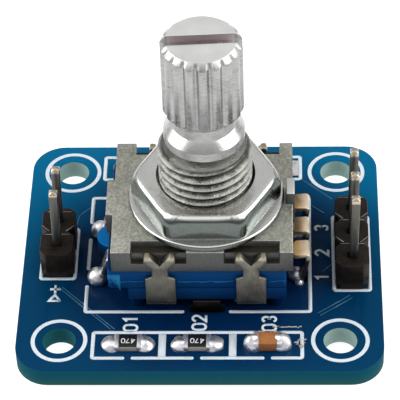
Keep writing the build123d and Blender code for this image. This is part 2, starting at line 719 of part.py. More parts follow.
with BuildPart() as underside_solder:
    with Locations(*[(x, y, -CONE_H / 2) for x, y in
                     HEADER_PINS["power"] + HEADER_PINS["signal"] + SIGNAL_PINS + SWITCH_PINS]):
        Cone(CONE_TIP_R, CONE_R, CONE_H)
    with BuildSketch(Plane.XY):
        with Locations(*LUGS):
            Rectangle(LUG_SLOT_L + 2 * LUG_SOLDER_MARGIN, LUG_SLOT_W + 2 * LUG_SOLDER_MARGIN)
    extrude(amount=-LUG_SOLDER_H, taper=LUG_SOLDER_TAPER)
    with BuildSketch(Plane.XY):
        with Locations(*HEADER_PINS["power"], *HEADER_PINS["signal"]):
            Rectangle(HEADER_PIN, HEADER_PIN)
        with Locations(*SIGNAL_PINS, *SWITCH_PINS):
            Rectangle(TERMINAL_T, TERMINAL_PIN_W)
        with Locations(*LUGS):
            Rectangle(LUG_W, STRAP_T)
    extrude(amount=-CUT, mode=Mode.SUBTRACT)
save(underside_solder, "underside_solder")
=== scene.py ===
# %% [markdown]
# # A push-switch rotary encoder on its circuit board
#
# The CAD model fixes every size and every joint. This notebook keeps that model as its frame
# and builds the looks round it: the helical thread, the chamfered nut, the knurl, the solder,
# the printed lines and a procedural finish for every surface.

import json
import math

import bmesh
import bpy
from mathutils import Matrix, Vector, noise


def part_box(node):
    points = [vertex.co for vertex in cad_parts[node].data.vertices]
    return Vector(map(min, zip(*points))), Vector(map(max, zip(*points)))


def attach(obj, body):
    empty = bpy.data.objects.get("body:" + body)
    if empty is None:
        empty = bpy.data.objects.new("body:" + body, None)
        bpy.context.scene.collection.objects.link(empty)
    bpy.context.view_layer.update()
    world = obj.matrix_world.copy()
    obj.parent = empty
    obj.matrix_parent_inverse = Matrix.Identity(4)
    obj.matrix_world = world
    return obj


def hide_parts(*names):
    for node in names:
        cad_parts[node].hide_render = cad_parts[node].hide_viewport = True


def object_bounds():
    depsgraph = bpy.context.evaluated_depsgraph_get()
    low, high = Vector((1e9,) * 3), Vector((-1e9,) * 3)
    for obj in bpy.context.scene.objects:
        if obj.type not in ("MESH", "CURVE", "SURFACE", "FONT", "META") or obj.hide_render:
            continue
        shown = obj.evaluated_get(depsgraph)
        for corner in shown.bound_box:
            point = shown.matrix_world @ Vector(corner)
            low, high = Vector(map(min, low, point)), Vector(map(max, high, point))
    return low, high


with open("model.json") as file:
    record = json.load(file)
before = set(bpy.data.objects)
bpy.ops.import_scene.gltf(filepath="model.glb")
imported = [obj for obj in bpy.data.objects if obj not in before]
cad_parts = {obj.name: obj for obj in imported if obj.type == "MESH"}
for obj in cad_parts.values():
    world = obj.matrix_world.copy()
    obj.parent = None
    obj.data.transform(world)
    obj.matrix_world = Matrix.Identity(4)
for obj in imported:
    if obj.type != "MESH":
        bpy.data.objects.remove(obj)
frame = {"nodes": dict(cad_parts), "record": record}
cad_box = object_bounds()
record = frame["record"]
MM = 0.001

# %% [markdown]
# ## The camera and the studio
#
# The view looks down on the board at 45 degrees from the front, through a long lens, so that
# the board's sides stay nearly parallel. The camera comes first, because the rest is judged
# through it. A Track To constraint could aim it, but it always keeps a camera level, and this
# one is tilted by two degrees. So it is built from its own three axes: right, up and back.

# %% The camera
AZIMUTH = 2.82
ELEVATION = 45.29
ROLL = math.radians(-2.185)
CAMERA_PLACE = Vector((6.18, -125.48, 131.92)) * MM
SENSOR_MM = 36
LENS_MM = 210.8
SHIFT = (-0.0021, 0.0566)


def direction(azimuth, elevation):
    """A unit vector away from the object, from angles in degrees; azimuth 0 is to the front."""
    a, e = math.radians(azimuth), math.radians(elevation)
    return Vector((math.sin(a) * math.cos(e), -math.cos(a) * math.cos(e), math.sin(e)))


def make_camera():
    data = bpy.data.cameras.new("camera")
    data.sensor_width = SENSOR_MM
    data.lens = LENS_MM
    data.shift_x, data.shift_y = SHIFT
    data.clip_start = MM
    camera = bpy.data.objects.new("camera", data)
    bpy.context.scene.collection.objects.link(camera)
    back = direction(AZIMUTH, ELEVATION)
    right = Vector((0, 0, 1)).cross(back).normalized()
    up = back.cross(right)
    turned_right = math.cos(ROLL) * right + math.sin(ROLL) * up
    turned_up = math.cos(ROLL) * up - math.sin(ROLL) * right
    turn = Matrix((turned_right, turned_up, back)).transposed()
    camera.matrix_world = Matrix.Translation(CAMERA_PLACE) @ turn.to_4x4()
    bpy.context.scene.camera = camera


make_camera()
print("camera at", [round(c / MM, 1) for c in CAMERA_PLACE], "mm")

# %% [markdown]
# ## A small language for materials
#
# A finish on the real object is never one flat colour, so each material is a small sum of
# noises and places. Such a sum could be drawn by hand in the shader editor, but it reads better
# as a formula. `Wire` wraps a shader socket, so that shader sums are written as Python sums:
# every operator adds one Math node. `Finish` is a material with one Principled shader. Its
# `node` method adds any other node from its type, its settings and the values of its sockets.


# %% Wires and finishes
class Wire:
    """A shader socket that takes part in Python arithmetic."""

    def __init__(self, finish, socket):
        self.finish = finish
        self.socket = socket

    def math(self, operation, *terms):
        return self.finish.node("ShaderNodeMath", {"operation": operation}, dict(enumerate(terms)))

    def __add__(self, other):
        return self.math("ADD", self, other)

    def __sub__(self, other):
        return self.math("SUBTRACT", self, other)

    def __rsub__(self, other):
        return self.math("SUBTRACT", other, self)

    def __mul__(self, other):
        return self.math("MULTIPLY", self, other)

    def __pow__(self, other):
        return self.math("POWER", self, other)

    def __lt__(self, other):
        return self.math("LESS_THAN", self, other)

    def __gt__(self, other):
        return self.math("GREATER_THAN", self, other)

    def __abs__(self):
        return self.math("ABSOLUTE", self)

    def sine(self):
        return self.math("SINE", self)

    __radd__ = __add__
    __rmul__ = __mul__

    def rise(self, low, high):
        """0 below low, 1 above high and a smooth step between."""
        return self.finish.node(
            "ShaderNodeMapRange",
            {"interpolation_type": "SMOOTHSTEP"},
            {"Value": self, "From Min": low, "From Max": high},
        )


MIX_A, MIX_B, MIX_OUT = 6, 7, 2


class Finish:
    """A material. Constants go straight on the shader's sockets; wires are what varies."""

    def __init__(self, name, **constants):
        self.material = bpy.data.materials.new(name)
        self.material.use_nodes = True
        self.tree = self.material.node_tree
        self.shader = self.tree.nodes["Principled BSDF"]
        for socket, value in constants.items():
            self.set(socket.replace("_", " ").title().replace("Ior", "IOR"), value)
        self.place = self.node("ShaderNodeTexCoord", output="Object")

    def node(self, kind, settings=None, values=None, output=0):
        made = self.tree.nodes.new(kind)
        for name, value in (settings or {}).items():
            setattr(made, name, value)
        for key, value in (values or {}).items():
            self.plug(made.inputs[key], value)
        return Wire(self, made.outputs[output])

    def plug(self, socket, value):
        if isinstance(value, Wire):
            self.tree.links.new(value.socket, socket)
        elif isinstance(value, tuple) and len(value) == 3 and socket.type == "RGBA":
            socket.default_value = (*value, 1)
        else:
            socket.default_value = value

    def set(self, name, value):
        self.plug(self.shader.inputs[name], value)

    def axes(self, wire=None):
        """The x, y and z wires of a vector, by default of the place on the object."""
        split = self.tree.nodes.new("ShaderNodeSeparateXYZ")
        self.plug(split.inputs[0], wire or self.place)
        return [Wire(self, out) for out in split.outputs]

    def facing(self):
        """The surface normal's x, y and z, in the object's own axes."""
        return self.axes(self.node("ShaderNodeTexCoord", output="Normal"))

    def upright(self):
        """1 on walls, 0 on faces that look up or down."""
        return 1 - abs(self.facing()[2]).rise(0.50, 0.88)

    def noise(self, size_mm, detail=2.0, stretch=(1, 1, 1), roughness=0.5):
        """Cloudy noise from 0 to 1 whose lumps are about size_mm across, times stretch."""
        place = self.node(
            "ShaderNodeMapping", None, {"Vector": self.place, "Scale": tuple(1 / s for s in stretch)}
        )
        values = {"Vector": place, "Scale": 1 / (size_mm * MM), "Detail": detail, "Roughness": roughness}
        return self.node("ShaderNodeTexNoise", None, values)

    def mix(self, factor, a, b):
        """Colour a where factor is 0 and colour b where it is 1."""
        values = {0: factor, MIX_A: a, MIX_B: b}
        return self.node("ShaderNodeMix", {"data_type": "RGBA"}, values, MIX_OUT)

    def bump(self, height, depth_mm):
        values = {"Height": height, "Distance": depth_mm * MM, "Strength": 1.0}
        self.set("Normal", self.node("ShaderNodeBump", None, values))


# %% [markdown]
# ## Floor, light and world
#
# The object stands on a pale sheet lit from below, as on a light table, so there is hardly a
# shadow and the board's holes show white. A sheet with many lamps over it would be as bright,
# but it would wash the glossy board out. Two soft lamps stand left and right of the object and
# give the two bright spots on each round edge, and a broad one above fills the flat tops. The
# room is a grey ramp: darkest at the level of the table and brightest a third of the way up,
# which keeps the black mouldings deep and still gives the metal something to mirror.

# %% The stage
FLOOR_Z = cad_box[0][2]
FLOOR_HALF = 1.5
STAGE_CENTRE = Vector((0, 0, FLOOR_Z))


def make_floor():
    bm = bmesh.new()
    bmesh.ops.create_grid(bm, x_segments=1, y_segments=1, size=FLOOR_HALF)
    bmesh.ops.translate(bm, vec=STAGE_CENTRE, verts=bm.verts)
    mesh = bpy.data.meshes.new("floor")
    bm.to_mesh(mesh)
    bm.free()
    paper = Finish(
        "pale_paper", base_color=(0.30, 0.30, 0.30), roughness=0.9,
        emission_color=(1, 1, 1), emission_strength=0.95,
    )
    mesh.materials.append(paper.material)
    floor = bpy.data.objects.new("floor", mesh)
    bpy.context.scene.collection.objects.link(floor)


def lamp(name, azimuth, elevation, distance, size, power):
    """A round soft lamp that looks at the object."""
    data = bpy.data.lights.new(name, "AREA")
    data.shape = "DISK"
    data.size = size
    data.energy = power
    made = bpy.data.objects.new(name, data)
    bpy.context.scene.collection.objects.link(made)
    away = direction(azimuth, elevation)
    made.location = STAGE_CENTRE + away * distance
    made.rotation_euler = away.to_track_quat("Z", "Y").to_euler()


ROOM = [(0.0, 0.22), (0.6, 0.54), (1.0, 0.46)]


def make_world():
    """A room whose grey follows the height that a ray looks up to: 0 is level and 1 straight up."""
    world = bpy.data.worlds.new("soft_studio")
    bpy.context.scene.world = world
    world.use_nodes = True
    tree = world.node_tree
    coordinates = tree.nodes.new("ShaderNodeTexCoord")
    split = tree.nodes.new("ShaderNodeSeparateXYZ")
    ramp = tree.nodes.new("ShaderNodeValToRGB")
    tree.links.new(coordinates.outputs["Generated"], split.inputs[0])
    tree.links.new(split.outputs["Z"], ramp.inputs["Fac"])
    tree.links.new(ramp.outputs["Color"], tree.nodes["Background"].inputs["Color"])
    stops = ramp.color_ramp.elements
    stops.new(0.5)
    for stop, (height, grey) in zip(stops, ROOM):
        stop.position, stop.color = height, (grey, grey, grey, 1)


SIDE_LAMP = {"elevation": 34, "distance": 0.5, "size": 0.40, "power": 2.1}

make_floor()
make_world()
lamp("lamp_left", azimuth=-88, **SIDE_LAMP)
lamp("lamp_right", azimuth=84, **SIDE_LAMP)
lamp("lamp_above", azimuth=0, elevation=88, distance=0.8, size=1.00, power=1.15)
bpy.context.scene.view_settings.view_transform = "Standard"
print("floor at", round(FLOOR_Z / MM, 2), "mm")

# %% [markdown]
# ## Places, read from the frame
#
# Sizes below are in millimetres. Most come from the CAD boxes and the record's mounts, so a
# piece lands where the CAD says, and a change there moves the looks with it. Numbers typed in
# here would be shorter, but they would go stale. A piece is modelled in millimetres and made
# metres when it is finished.


# %% Places
def low(node):
    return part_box(node)[0] / MM


def high(node):
    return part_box(node)[1] / MM


def middle(node):
    return (low(node) + high(node)) / 2


def half(node):
    """Half the node's size along each axis."""
    return (high(node) - low(node)) / 2


def mount(name):
    return next(m["dims"] for m in record["mounts"] if m["name"] == name)


BOARD_TOP = high("circuit_board").z
AXIS = middle("mounting_washer")
FACE_Z = low("mounting_washer").z
HOLE_X = mount("board_holes")["spacing_x_mm"] / 2
HOLE_Y = mount("board_holes")["spacing_y_mm"] / 2
HOLE_R = mount("board_holes")["hole_r_mm"]
SHAFT_TOP = high("shaft").z
SHAFT_R = half("shaft").x
SLOT_DEPTH = 1.3
SLOT_FLOOR = SHAFT_TOP - SLOT_DEPTH
BUSHING_R = mount("panel_bushing")["r_mm"]
PIN_TOP = high("power_header_pins").z
POWER_DROP = 0.42
print("encoder axis", [round(c, 2) for c in AXIS.xy], "mounting face", round(FACE_Z, 2))

# %% [markdown]
# ## Helpers for meshes
#
# `piece` turns a finished bmesh into an object that rides on a CAD body, so that it moves when
# the joint moves. The small helpers below it are the few steps that most pieces share: start a
# row of points, pull its edges out, cut along a plane and take the sharpness off an edge.


def piece(bm, name, finish, body="base", nodes=(), sharp=35):
    """Makes an object of the bmesh in the finish, and hides the nodes that it replaces."""
    loose = sum(1 for e in bm.edges if len(e.link_faces) != 2)
    bmesh.ops.scale(bm, vec=(MM, MM, MM), verts=bm.verts)
    mesh = bpy.data.meshes.new(name)
    bm.to_mesh(mesh)
    bm.free()
    mesh.shade_smooth()
    mesh.set_sharp_from_angle(angle=math.radians(sharp))
    mesh.materials.append(finish.material)
    made = bpy.data.objects.new(name, mesh)
    bpy.context.scene.collection.objects.link(made)
    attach(made, body)
    if nodes:
        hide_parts(*nodes)
    print(f"{name}: {len(mesh.polygons)} faces, {loose} open edges")
    return made


def everything(bm):
    return bm.verts[:] + bm.edges[:] + bm.faces[:]


def cut(bm, place, normal, parts=None, **clear):
    """Cuts along a plane; clear_inner or clear_outer takes one side away."""
    bmesh.ops.bisect_plane(
        bm, geom=parts or everything(bm), dist=0.0001, plane_co=place, plane_no=normal, **clear
    )


def row(bm, points):
    """Points joined one to the next by edges."""
    verts = [bm.verts.new(point) for point in points]
    return verts, [bm.edges.new(pair) for pair in zip(verts, verts[1:])]


def pulled(bm, edges):
    """Extrudes the edges and gives the new points and the new edges, still in their old place."""
    grown = bmesh.ops.extrude_edge_only(bm, edges=edges)["geom"]
    verts = [g for g in grown if isinstance(g, bmesh.types.BMVert)]
    return verts, [g for g in grown if isinstance(g, bmesh.types.BMEdge)]


def outward(bm):
    """Merges points that share a place and turns every face outwards."""
    bmesh.ops.remove_doubles(bm, verts=bm.verts, dist=0.0005)
    bmesh.ops.recalc_face_normals(bm, faces=bm.faces)


def soften(bm, edges, width, segments=2):
    """Rounds edges off."""
    bmesh.ops.bevel(
        bm, geom=edges, offset=width, offset_type="OFFSET", segments=segments,
        profile=0.5, affect="EDGES", clamp_overlap=True, material=-1,
    )


def corners(bm, angle=30):
    """The edges where two faces meet at more than angle degrees."""
    return [e for e in bm.edges if len(e.link_faces) == 2 and e.calc_face_angle() > math.radians(angle)]


# %% [markdown]
# Many pieces of an encoder come off a lathe. A spin of an outline would do for the plain ones,
# but not for the hexagon and the knurl, whose radius changes with the angle. So `turned` stacks
# rings of points round an axis: each ring is pulled out of the one before it with an extrude,
# then put at its radius and height, and a ring may be a function of the angle.


# %% Turned work
def put_ring(verts, ring):
    for vert in verts:
        angle = math.atan2(vert.co.y, vert.co.x)
        radius, height = ring(angle) if callable(ring) else ring
        vert.co = (radius * math.cos(angle), radius * math.sin(angle), height)


def turned(bm, rings, steps, centre=(0, 0), tube=False):
    """Stacks rings round a vertical axis. A tube's last ring joins its first; else both ends close."""
    before = set(bm.verts)
    verts = bmesh.ops.create_circle(bm, segments=steps, radius=1)["verts"]
    put_ring(verts, rings[0])
    first = list({e for v in verts for e in v.link_edges})
    last = first
    for ring in rings[1:]:
        verts, last = pulled(bm, last)
        put_ring(verts, ring)
    if tube:
        bmesh.ops.bridge_loops(bm, edges=first + last)
    else:
        bmesh.ops.edgeloop_fill(bm, edges=first)
        bmesh.ops.edgeloop_fill(bm, edges=last)
    new = [v for v in bm.verts if v not in before]
    bmesh.ops.translate(bm, vec=(centre[0], centre[1], 0), verts=new)
    return new


def rounded(radius, height, by, steps):
    """Ring sizes round a quarter circle that ends a wall at radius and height."""
    turn = math.pi / 2 / steps
    return [
        (radius - by * (1 - math.cos(i * turn)), height - by * (1 - math.sin(i * turn)))
        for i in range(steps + 1)
    ]


# %% [markdown]
# Other pieces already have their true shape in the CAD, and modelling them again would only
# bring mistakes. Their mesh is copied, its loose triangles are merged to clean faces, and a
# narrow bevel gives the edges the small radius that catches the light.


# %% A CAD node's copy with its edges softened
def cad_copy(node):
    bm = bmesh.new()
    bm.from_mesh(frame["nodes"][node].data)
    bmesh.ops.scale(bm, vec=(1 / MM, 1 / MM, 1 / MM), verts=bm.verts)
    bmesh.ops.remove_doubles(bm, verts=bm.verts, dist=0.001)
    bmesh.ops.dissolve_limit(bm, angle_limit=math.radians(1), verts=bm.verts, edges=bm.edges)
    return bm


def softened(node, finish, width, name, segments=2, angle=30, shape=None, cuts=()):
    """A CAD node's copy, cut where x is given, moved by shape, with its edges rounded off."""
    bm = cad_copy(node)
    for x in cuts:
        cut(bm, (x, 0, 0), (1, 0, 0))
    for vert in bm.verts if shape else ():
        vert.co += shape(vert.co)
    soften(bm, corners(bm, angle), width, segments)
    piece(bm, name, finish, nodes=[node])


# %% [markdown]
# ## Finishes
#
# The board is glass fibre under glossy blue solder mask. The mask looks navy over the bare
# middle and teal where copper lies under it towards the rims, and the cut sides show the fibre
# board itself. Three materials on three sets of faces could give that, but the change from navy
# to teal is gradual. So one material mixes its colours by the distance from the encoder, by
# which way the surface faces and by the distance from the nearest hole.


# %% Solder mask
def from_axis(f):
    """The distance in metres from the encoder's axis."""
    x, y, _ = f.axes()
    return ((x - AXIS.x * MM) ** 2 + (y - AXIS.y * MM) ** 2) ** 0.5


def solder_mask_finish():
    f = Finish("solder_mask", coat_roughness=0.08, specular_ior_level=0.03)
    x, y, z = f.axes()
    away = from_axis(f)
    cloud = f.noise(6.0, 3)
    rim = (away + cloud * 0.003).rise(0.0085, 0.0175)
    deep = f.mix(cloud, (0.0004, 0.008, 0.034), (0.0005, 0.016, 0.062))
    back = y.rise(-9.0 * MM, 12.0 * MM)
    teal = f.mix(back, (0.0005, 0.034, 0.090), (0.0005, 0.102, 0.215))
    top = f.mix(rim, deep, teal)
    to_hole = ((abs(x) - HOLE_X * MM) ** 2 + (abs(y) - HOLE_Y * MM) ** 2) ** 0.5
    fibre = f.noise(0.18, 2, stretch=(1, 1, 0.25))
    rim_side = f.mix(fibre, (0.0015, 0.042, 0.078), (0.003, 0.080, 0.115))
    rim_side = f.mix(z.rise(0.0, 1.1 * MM), (0.012, 0.075, 0.075), rim_side)
    # painted light: the walls of the holes turn lighter towards the back right
    lit = (x + y).rise(-19.0 * MM, 3.0 * MM)
    bore_dark = f.mix(lit, (0.004, 0.06, 0.075), (0.20, 0.30, 0.28))
    bore_light = f.mix(lit, (0.012, 0.12, 0.13), (0.33, 0.44, 0.41))
    bore = f.mix(fibre, bore_dark, bore_light)
    side = f.mix(to_hole < (HOLE_R + 0.15) * MM, rim_side, bore)
    is_side = abs(f.facing()[2]) < 0.5
    f.set("Base Color", f.mix(is_side, top, side))
    f.set("Roughness", 0.24 + cloud * 0.1 + is_side * 0.35)
    f.set("Coat Weight", 0.035 - is_side * 0.035)
    f.bump(f.noise(0.9, 3) * 0.6 + fibre * is_side, 0.012)
    return f


# %% [markdown]
# The print is a thin white ink that lets some blue through, and copper tracks under the mask
# look like paler lines in it. Both could be painted by the mask's own material, but then their
# edges would be soft. They are separate thin pieces with a finish of their own.


# %% Ink and covered copper
def ink_finish():
    f = Finish("printed_ink")
    thin = f.noise(0.12, 3)
    f.set("Base Color", f.mix(thin.rise(0.50, 0.85), (0.57, 0.63, 0.68), (0.33, 0.43, 0.53)))
    f.set("Roughness", 0.5 + thin * 0.25)
    f.bump(thin, 0.006)
    return f


def covered_copper_finish():
    f = Finish("covered_copper", specular_ior_level=0.3)
    cloud = f.noise(1.2, 2)
    f.set("Base Color", f.mix(cloud, (0.006, 0.060, 0.125), (0.045, 0.150, 0.240)))
    f.set("Roughness", 0.2 + cloud * 0.12)
    f.bump(f.noise(0.3, 2), 0.004)
    return f


# %% [markdown]
# The metals differ by how they were made, and all of them mirror the grey room, so what tells
# them apart is grain, not colour. Die-cast zinc has a matt skin, speckled where it cooled. A
# fine noise gives the speckle and a coarse one the blotches. The walls, which the lamps graze,
# are painted darker than the face, as painted shade, and whatever is sunk in the pockets is
# painted almost black, also as painted shade.


# %% Die-cast zinc
def die_cast_finish():
    f = Finish("die_cast_zinc", metallic=1.0)
    grain = f.noise(0.17, 5, roughness=0.65)
    blotch = f.noise(1.1, 3)
    x, _, z = f.axes()
    # painted shade: faces that look up inside the pockets turn almost black
    sunk = (z < FACE_Z * MM - 0.2 * MM) * f.facing()[2].rise(0.3, 0.7)
    warm = f.mix(blotch.rise(0.3, 0.7), (0.40, 0.40, 0.345), (0.53, 0.53, 0.465))
    rough_dark = f.mix(0.35, warm, (0.18, 0.18, 0.15))
    rough_light = f.mix(0.4, warm, (0.80, 0.79, 0.73))
    top = f.mix(grain.rise(0.42, 0.66), rough_dark, rough_light)
    # painted highlight on the pip's top
    pip_highlight = (z > (FACE_Z + 0.7) * MM) * (x > (AXIS.x + PIP_FROM_X) * MM)
    top = f.mix(pip_highlight * 0.8, top, (0.80, 0.80, 0.76))
    # painted shade: the walls darker than the face
    wall = f.mix(f.noise(0.10, 3, stretch=(1, 1, 6)), (0.075, 0.078, 0.077), (0.165, 0.17, 0.165))
    skin = f.mix(f.upright(), top, wall)
    pocket_shade = f.mix(grain, (0.022, 0.020, 0.015), (0.065, 0.058, 0.045))
    f.set("Base Color", f.mix(sunk, skin, pocket_shade))
    f.set("Roughness", 0.42 + blotch * 0.14 + grain * 0.08)
    f.bump(grain + blotch * 0.6, 0.016)
    return f


# %% [markdown]
# On the thread the crests are painted bright, as painted highlight, and the roots painted dark,
# as painted shade. A shade mask from ambient occlusion would find the roots too, but it costs
# many rays. The distance from the axis says the same at no cost: far out is a crest.


# %% Worn thread
def thread_finish():
    f = Finish("cast_thread", metallic=1.0)
    grain = f.noise(0.09, 3)
    cloud = f.noise(0.8, 2)
    # painted highlight on the crests and painted shade in the roots, by the distance from the axis
    worn = (from_axis(f) + (grain + cloud - 1.0) * 0.34 * MM).rise((BUSHING_R - 0.30) * MM, BUSHING_R * MM)
    flank = f.mix(worn, (0.045, 0.045, 0.038), (0.40, 0.40, 0.375))
    end = f.mix(grain, (0.17, 0.17, 0.16), (0.36, 0.36, 0.34))
    f.set("Base Color", f.mix(f.facing()[2].rise(0.80, 0.97), flank, end))
    f.set("Roughness", 0.20 + cloud * 0.20)
    f.bump(grain + f.noise(0.3, 2), 0.07)
    return f


# %% [markdown]
# Nickel plate on the pressed washer and nut is bright, a little cloudy and here and there
# stained. The upright faces are painted darker than the tops, as a painted reflection of a dark
# table edge.


# %% Nickel plate
def nickel_finish():
    f = Finish("nickel_plate", metallic=1.0)
    cloud = f.noise(1.6, 3)
    fine = f.noise(0.12, 3)
    stain = f.noise(0.55, 4).rise(0.58, 0.74)
    base = f.mix(cloud, (0.74, 0.74, 0.71), (0.92, 0.92, 0.90))
    spotted = f.mix(stain * 0.3, base, (0.34, 0.32, 0.28))
    # painted reflection: the upright faces darker than the tops
    sides = f.mix(fine, (0.09, 0.105, 0.098), (0.17, 0.19, 0.18))
    f.set("Base Color", f.mix(f.upright(), spotted, sides))
    f.set("Roughness", 0.17 + cloud * 0.14 + stain * 0.14)
    f.bump(fine * 0.5 + cloud, 0.008)
    return f


# %% [markdown]
# The shaft is turned aluminium. A lathe leaves fine rings on the flat end, and the rolled knurl
# has streaks along it. Real grooves would need thousands of faces, so the rings are a sine of
# the radius in the bump, and the streaks are a noise that is stretched along the shaft. The
# upright faces are painted darker than the ends, as painted shade, and the milled slot is
# painted a warmer, darker tone, also as painted shade.


# %% Turned aluminium
TOOL_MARKS = 42000      # radians a metre, which is a ring every 0.15 mm


def turned_aluminium_finish():
    f = Finish("turned_aluminium", metallic=1.0)
    z = f.axes()[2]
    radius = from_axis(f)
    is_top = abs(f.facing()[2]).rise(0.75, 0.95)
    rings = (radius * TOOL_MARKS).sine()
    lines = f.noise(0.5, 3, stretch=(1, 1, 0.06))
    cloud = f.noise(1.4, 3)
    pits = f.noise(0.16, 2).rise(0.68, 0.80)
    base = f.mix(cloud, (0.84, 0.84, 0.82), (0.94, 0.94, 0.92))
    # painted shade: the knurl's upright faces darker than the ends, with streaks in them
    streaked_wall_shade = f.mix((lines * 0.8 + cloud * 0.3).rise(0.3, 0.8), (0.24, 0.245, 0.24), (0.49, 0.49, 0.475))
    spotted = f.mix(pits * 0.5, f.mix(f.upright(), base, streaked_wall_shade), (0.30, 0.29, 0.28))
    # painted shade in the milled slot
    below_top = (z > (SLOT_FLOOR - 0.05) * MM) * (z < (SHAFT_TOP - 0.06) * MM)
    slot_shade = below_top * (radius < (SHAFT_R - 0.55) * MM)
    f.set("Base Color", f.mix(slot_shade, spotted, (0.58, 0.52, 0.53)))
    rim = z.rise((SHAFT_TOP - 0.62) * MM, (SHAFT_TOP - 0.45) * MM) * (1 - is_top)
    f.set("Roughness", 0.22 + cloud * 0.12 + is_top * 0.22 + rim * 0.22)
    f.bump(lines * (1 - is_top) + rings * is_top * 0.25, 0.007)
    return f


# %% [markdown]
# Sheet metal shows the faint lines of the rolls. The strap, the springs and the tinned strips
# differ only in tone, so one function makes all three. On the strap the foot is painted darker,
# as painted shade under the encoder, and the fork's tips are lighter; both follow the height.


# %% Rolled sheet
def sheet_finish(name, dark, light, rough, low_mm=-3.0, high_mm=-2.0, tip_mm=20.0):
    """Rolled sheet: faint lines, small stains, painted shade below high_mm, lighter above tip_mm."""
    f = Finish(name, metallic=1.0)
    rolled = f.noise(0.22, 3, stretch=(0.3, 1, 3))
    stain = f.noise(0.7, 4)
    z = f.axes()[2]
    shade = f.mix((stain * 0.7 + rolled * 0.5).rise(0.35, 0.85), dark, light)
    # painted shade: the colour darkens towards the foot, below high_mm
    dull = tuple(0.22 * c for c in dark)
    worn = f.mix(z.rise(tip_mm * MM, (tip_mm + 0.3) * MM), shade, (0.40, 0.365, 0.275))
    f.set("Base Color", f.mix(z.rise(low_mm * MM, high_mm * MM), dull, worn))
    f.set("Roughness", rough + stain * 0.14)
    f.bump(rolled * 0.6 + stain * 0.5, 0.008)
    return f


# %% [markdown]
# The contact strips are brass, tinned at the far side of their bend, and the legs below lie in
# the shade of the housing. The tin could be a second material with a sharp border, but it wore
# off unevenly, so a ramp along x and a noise share the work.


# %% Brass, pins and solder
def brass_finish():
    f = Finish("contact_brass", metallic=0.75)
    tin = f.noise(0.5, 4).rise(0.46, 0.68)
    warm = f.mix(f.noise(0.25, 3), (0.72, 0.38, 0.13), (0.96, 0.66, 0.34))
    x, _, z = f.axes()
    tinned = x.rise(7.3 * MM, 8.25 * MM) * 0.75 + tin * 0.2
    plated = f.mix(tinned, warm, (0.95, 0.88, 0.72))
    f.set("Base Color", f.mix(z.rise(4.1 * MM, 4.6 * MM), (0.035, 0.028, 0.022), plated))
    f.set("Roughness", 0.26 + f.noise(0.3, 2) * 0.2)
    f.bump(f.noise(0.2, 3), 0.010)
    return f


def pin_finish():
    """Plated square wire: painted highlight on the tips, painted reflection darkening the sides."""
    f = Finish("header_pin_plate", metallic=1.0)
    x, _, z = f.axes()
    drawn = f.noise(0.15, 3, stretch=(1, 1, 8))
    # painted reflection: dark sides; painted highlight: bright tips
    side = f.mix(drawn, (0.065, 0.062, 0.055), (0.17, 0.165, 0.15))
    tip = f.mix(f.noise(0.2, 2), (0.42, 0.36, 0.27), (0.72, 0.62, 0.50))
    raised = z + (x < 0.0) * (POWER_DROP * MM)
    f.set("Base Color", f.mix(raised.rise((PIN_TOP - 0.45) * MM, (PIN_TOP - 0.2) * MM), side, tip))
    f.set("Roughness", 0.24 + drawn * 0.2)
    f.bump(drawn, 0.006)
    return f


def solder_finish():
    f = Finish("solder", metallic=1.0)
    dull = f.noise(0.5, 3)
    f.set("Base Color", f.mix(dull.rise(0.45, 0.8), (0.93, 0.92, 0.94), (0.55, 0.53, 0.56)))
    f.set("Roughness", 0.28 + dull * 0.2)
    f.bump(f.noise(0.6, 1), 0.012)
    return f


# %% [markdown]
# The blue housing is a semi-gloss moulding with faint flow marks. Light sinks into blue plastic
# and glows at the edges. Subsurface scattering would do it, but slowly and not in the export,
# so the colour is paler near the top of the walls and on the round tab at the left.


# %% Blue plastic
def blue_plastic_finish():
    f = Finish("blue_plastic", specular_ior_level=0.05)
    x, _, z = f.axes()
    cloud = f.noise(1.5, 3)
    paler = z.rise(1.9 * MM, 5.6 * MM)
    deep = f.mix(cloud, (0.0006, 0.011, 0.052), (0.001, 0.020, 0.082))
    wall = f.mix(paler, deep, (0.001, 0.042, 0.150))
    boss = f.mix((z < 4.5 * MM) * (x < -6.8 * MM), deep, (0.004, 0.15, 0.42))
    f.set("Base Color", f.mix(f.upright(), boss, wall))
    f.set("Roughness", 0.28 + cloud * 0.16)
    f.bump(f.noise(0.12, 3) * 0.5 + cloud, 0.012)
    return f


# %% [markdown]
# The headers are matt black with a brown tinge, the capacitor is brown ceramic and the rotor is
# an ivory moulding: a fine grain over a soft cloud, between two tones. A resistor is a glassy
# coat over white ceramic; only its top is coated, so the colour follows the way a face looks.


# %% Mouldings and ceramics
def moulding_finish(name, dark, light, rough, grain_mm=0.12, depth=0.012):
    f = Finish(name, specular_ior_level=0.15)
    grain = f.noise(grain_mm, 3)
    cloud = f.noise(1.3, 3)
    f.set("Base Color", f.mix((cloud * 0.6 + grain * 0.6).rise(0.3, 0.9), dark, light))
    f.set("Roughness", rough + cloud * 0.15)
    f.bump(grain + cloud * 0.4, depth)
    return f


def resistor_finish():
    f = Finish("resistor_coat", specular_ior_level=0.3)
    up = f.facing()[2] > 0.6
    grain = f.noise(0.1, 3)
    coat = f.mix(grain, (0.004, 0.004, 0.005), (0.012, 0.011, 0.012))
    ceramic = f.mix(grain, (0.26, 0.25, 0.22), (0.42, 0.40, 0.36))
    f.set("Base Color", f.mix(up, ceramic, coat))
    f.set("Roughness", 0.45 - up * 0.22 + grain * 0.08)
    f.bump(grain, 0.006)
    return f


# %% The whole set
PIP_FROM_X = 5.7

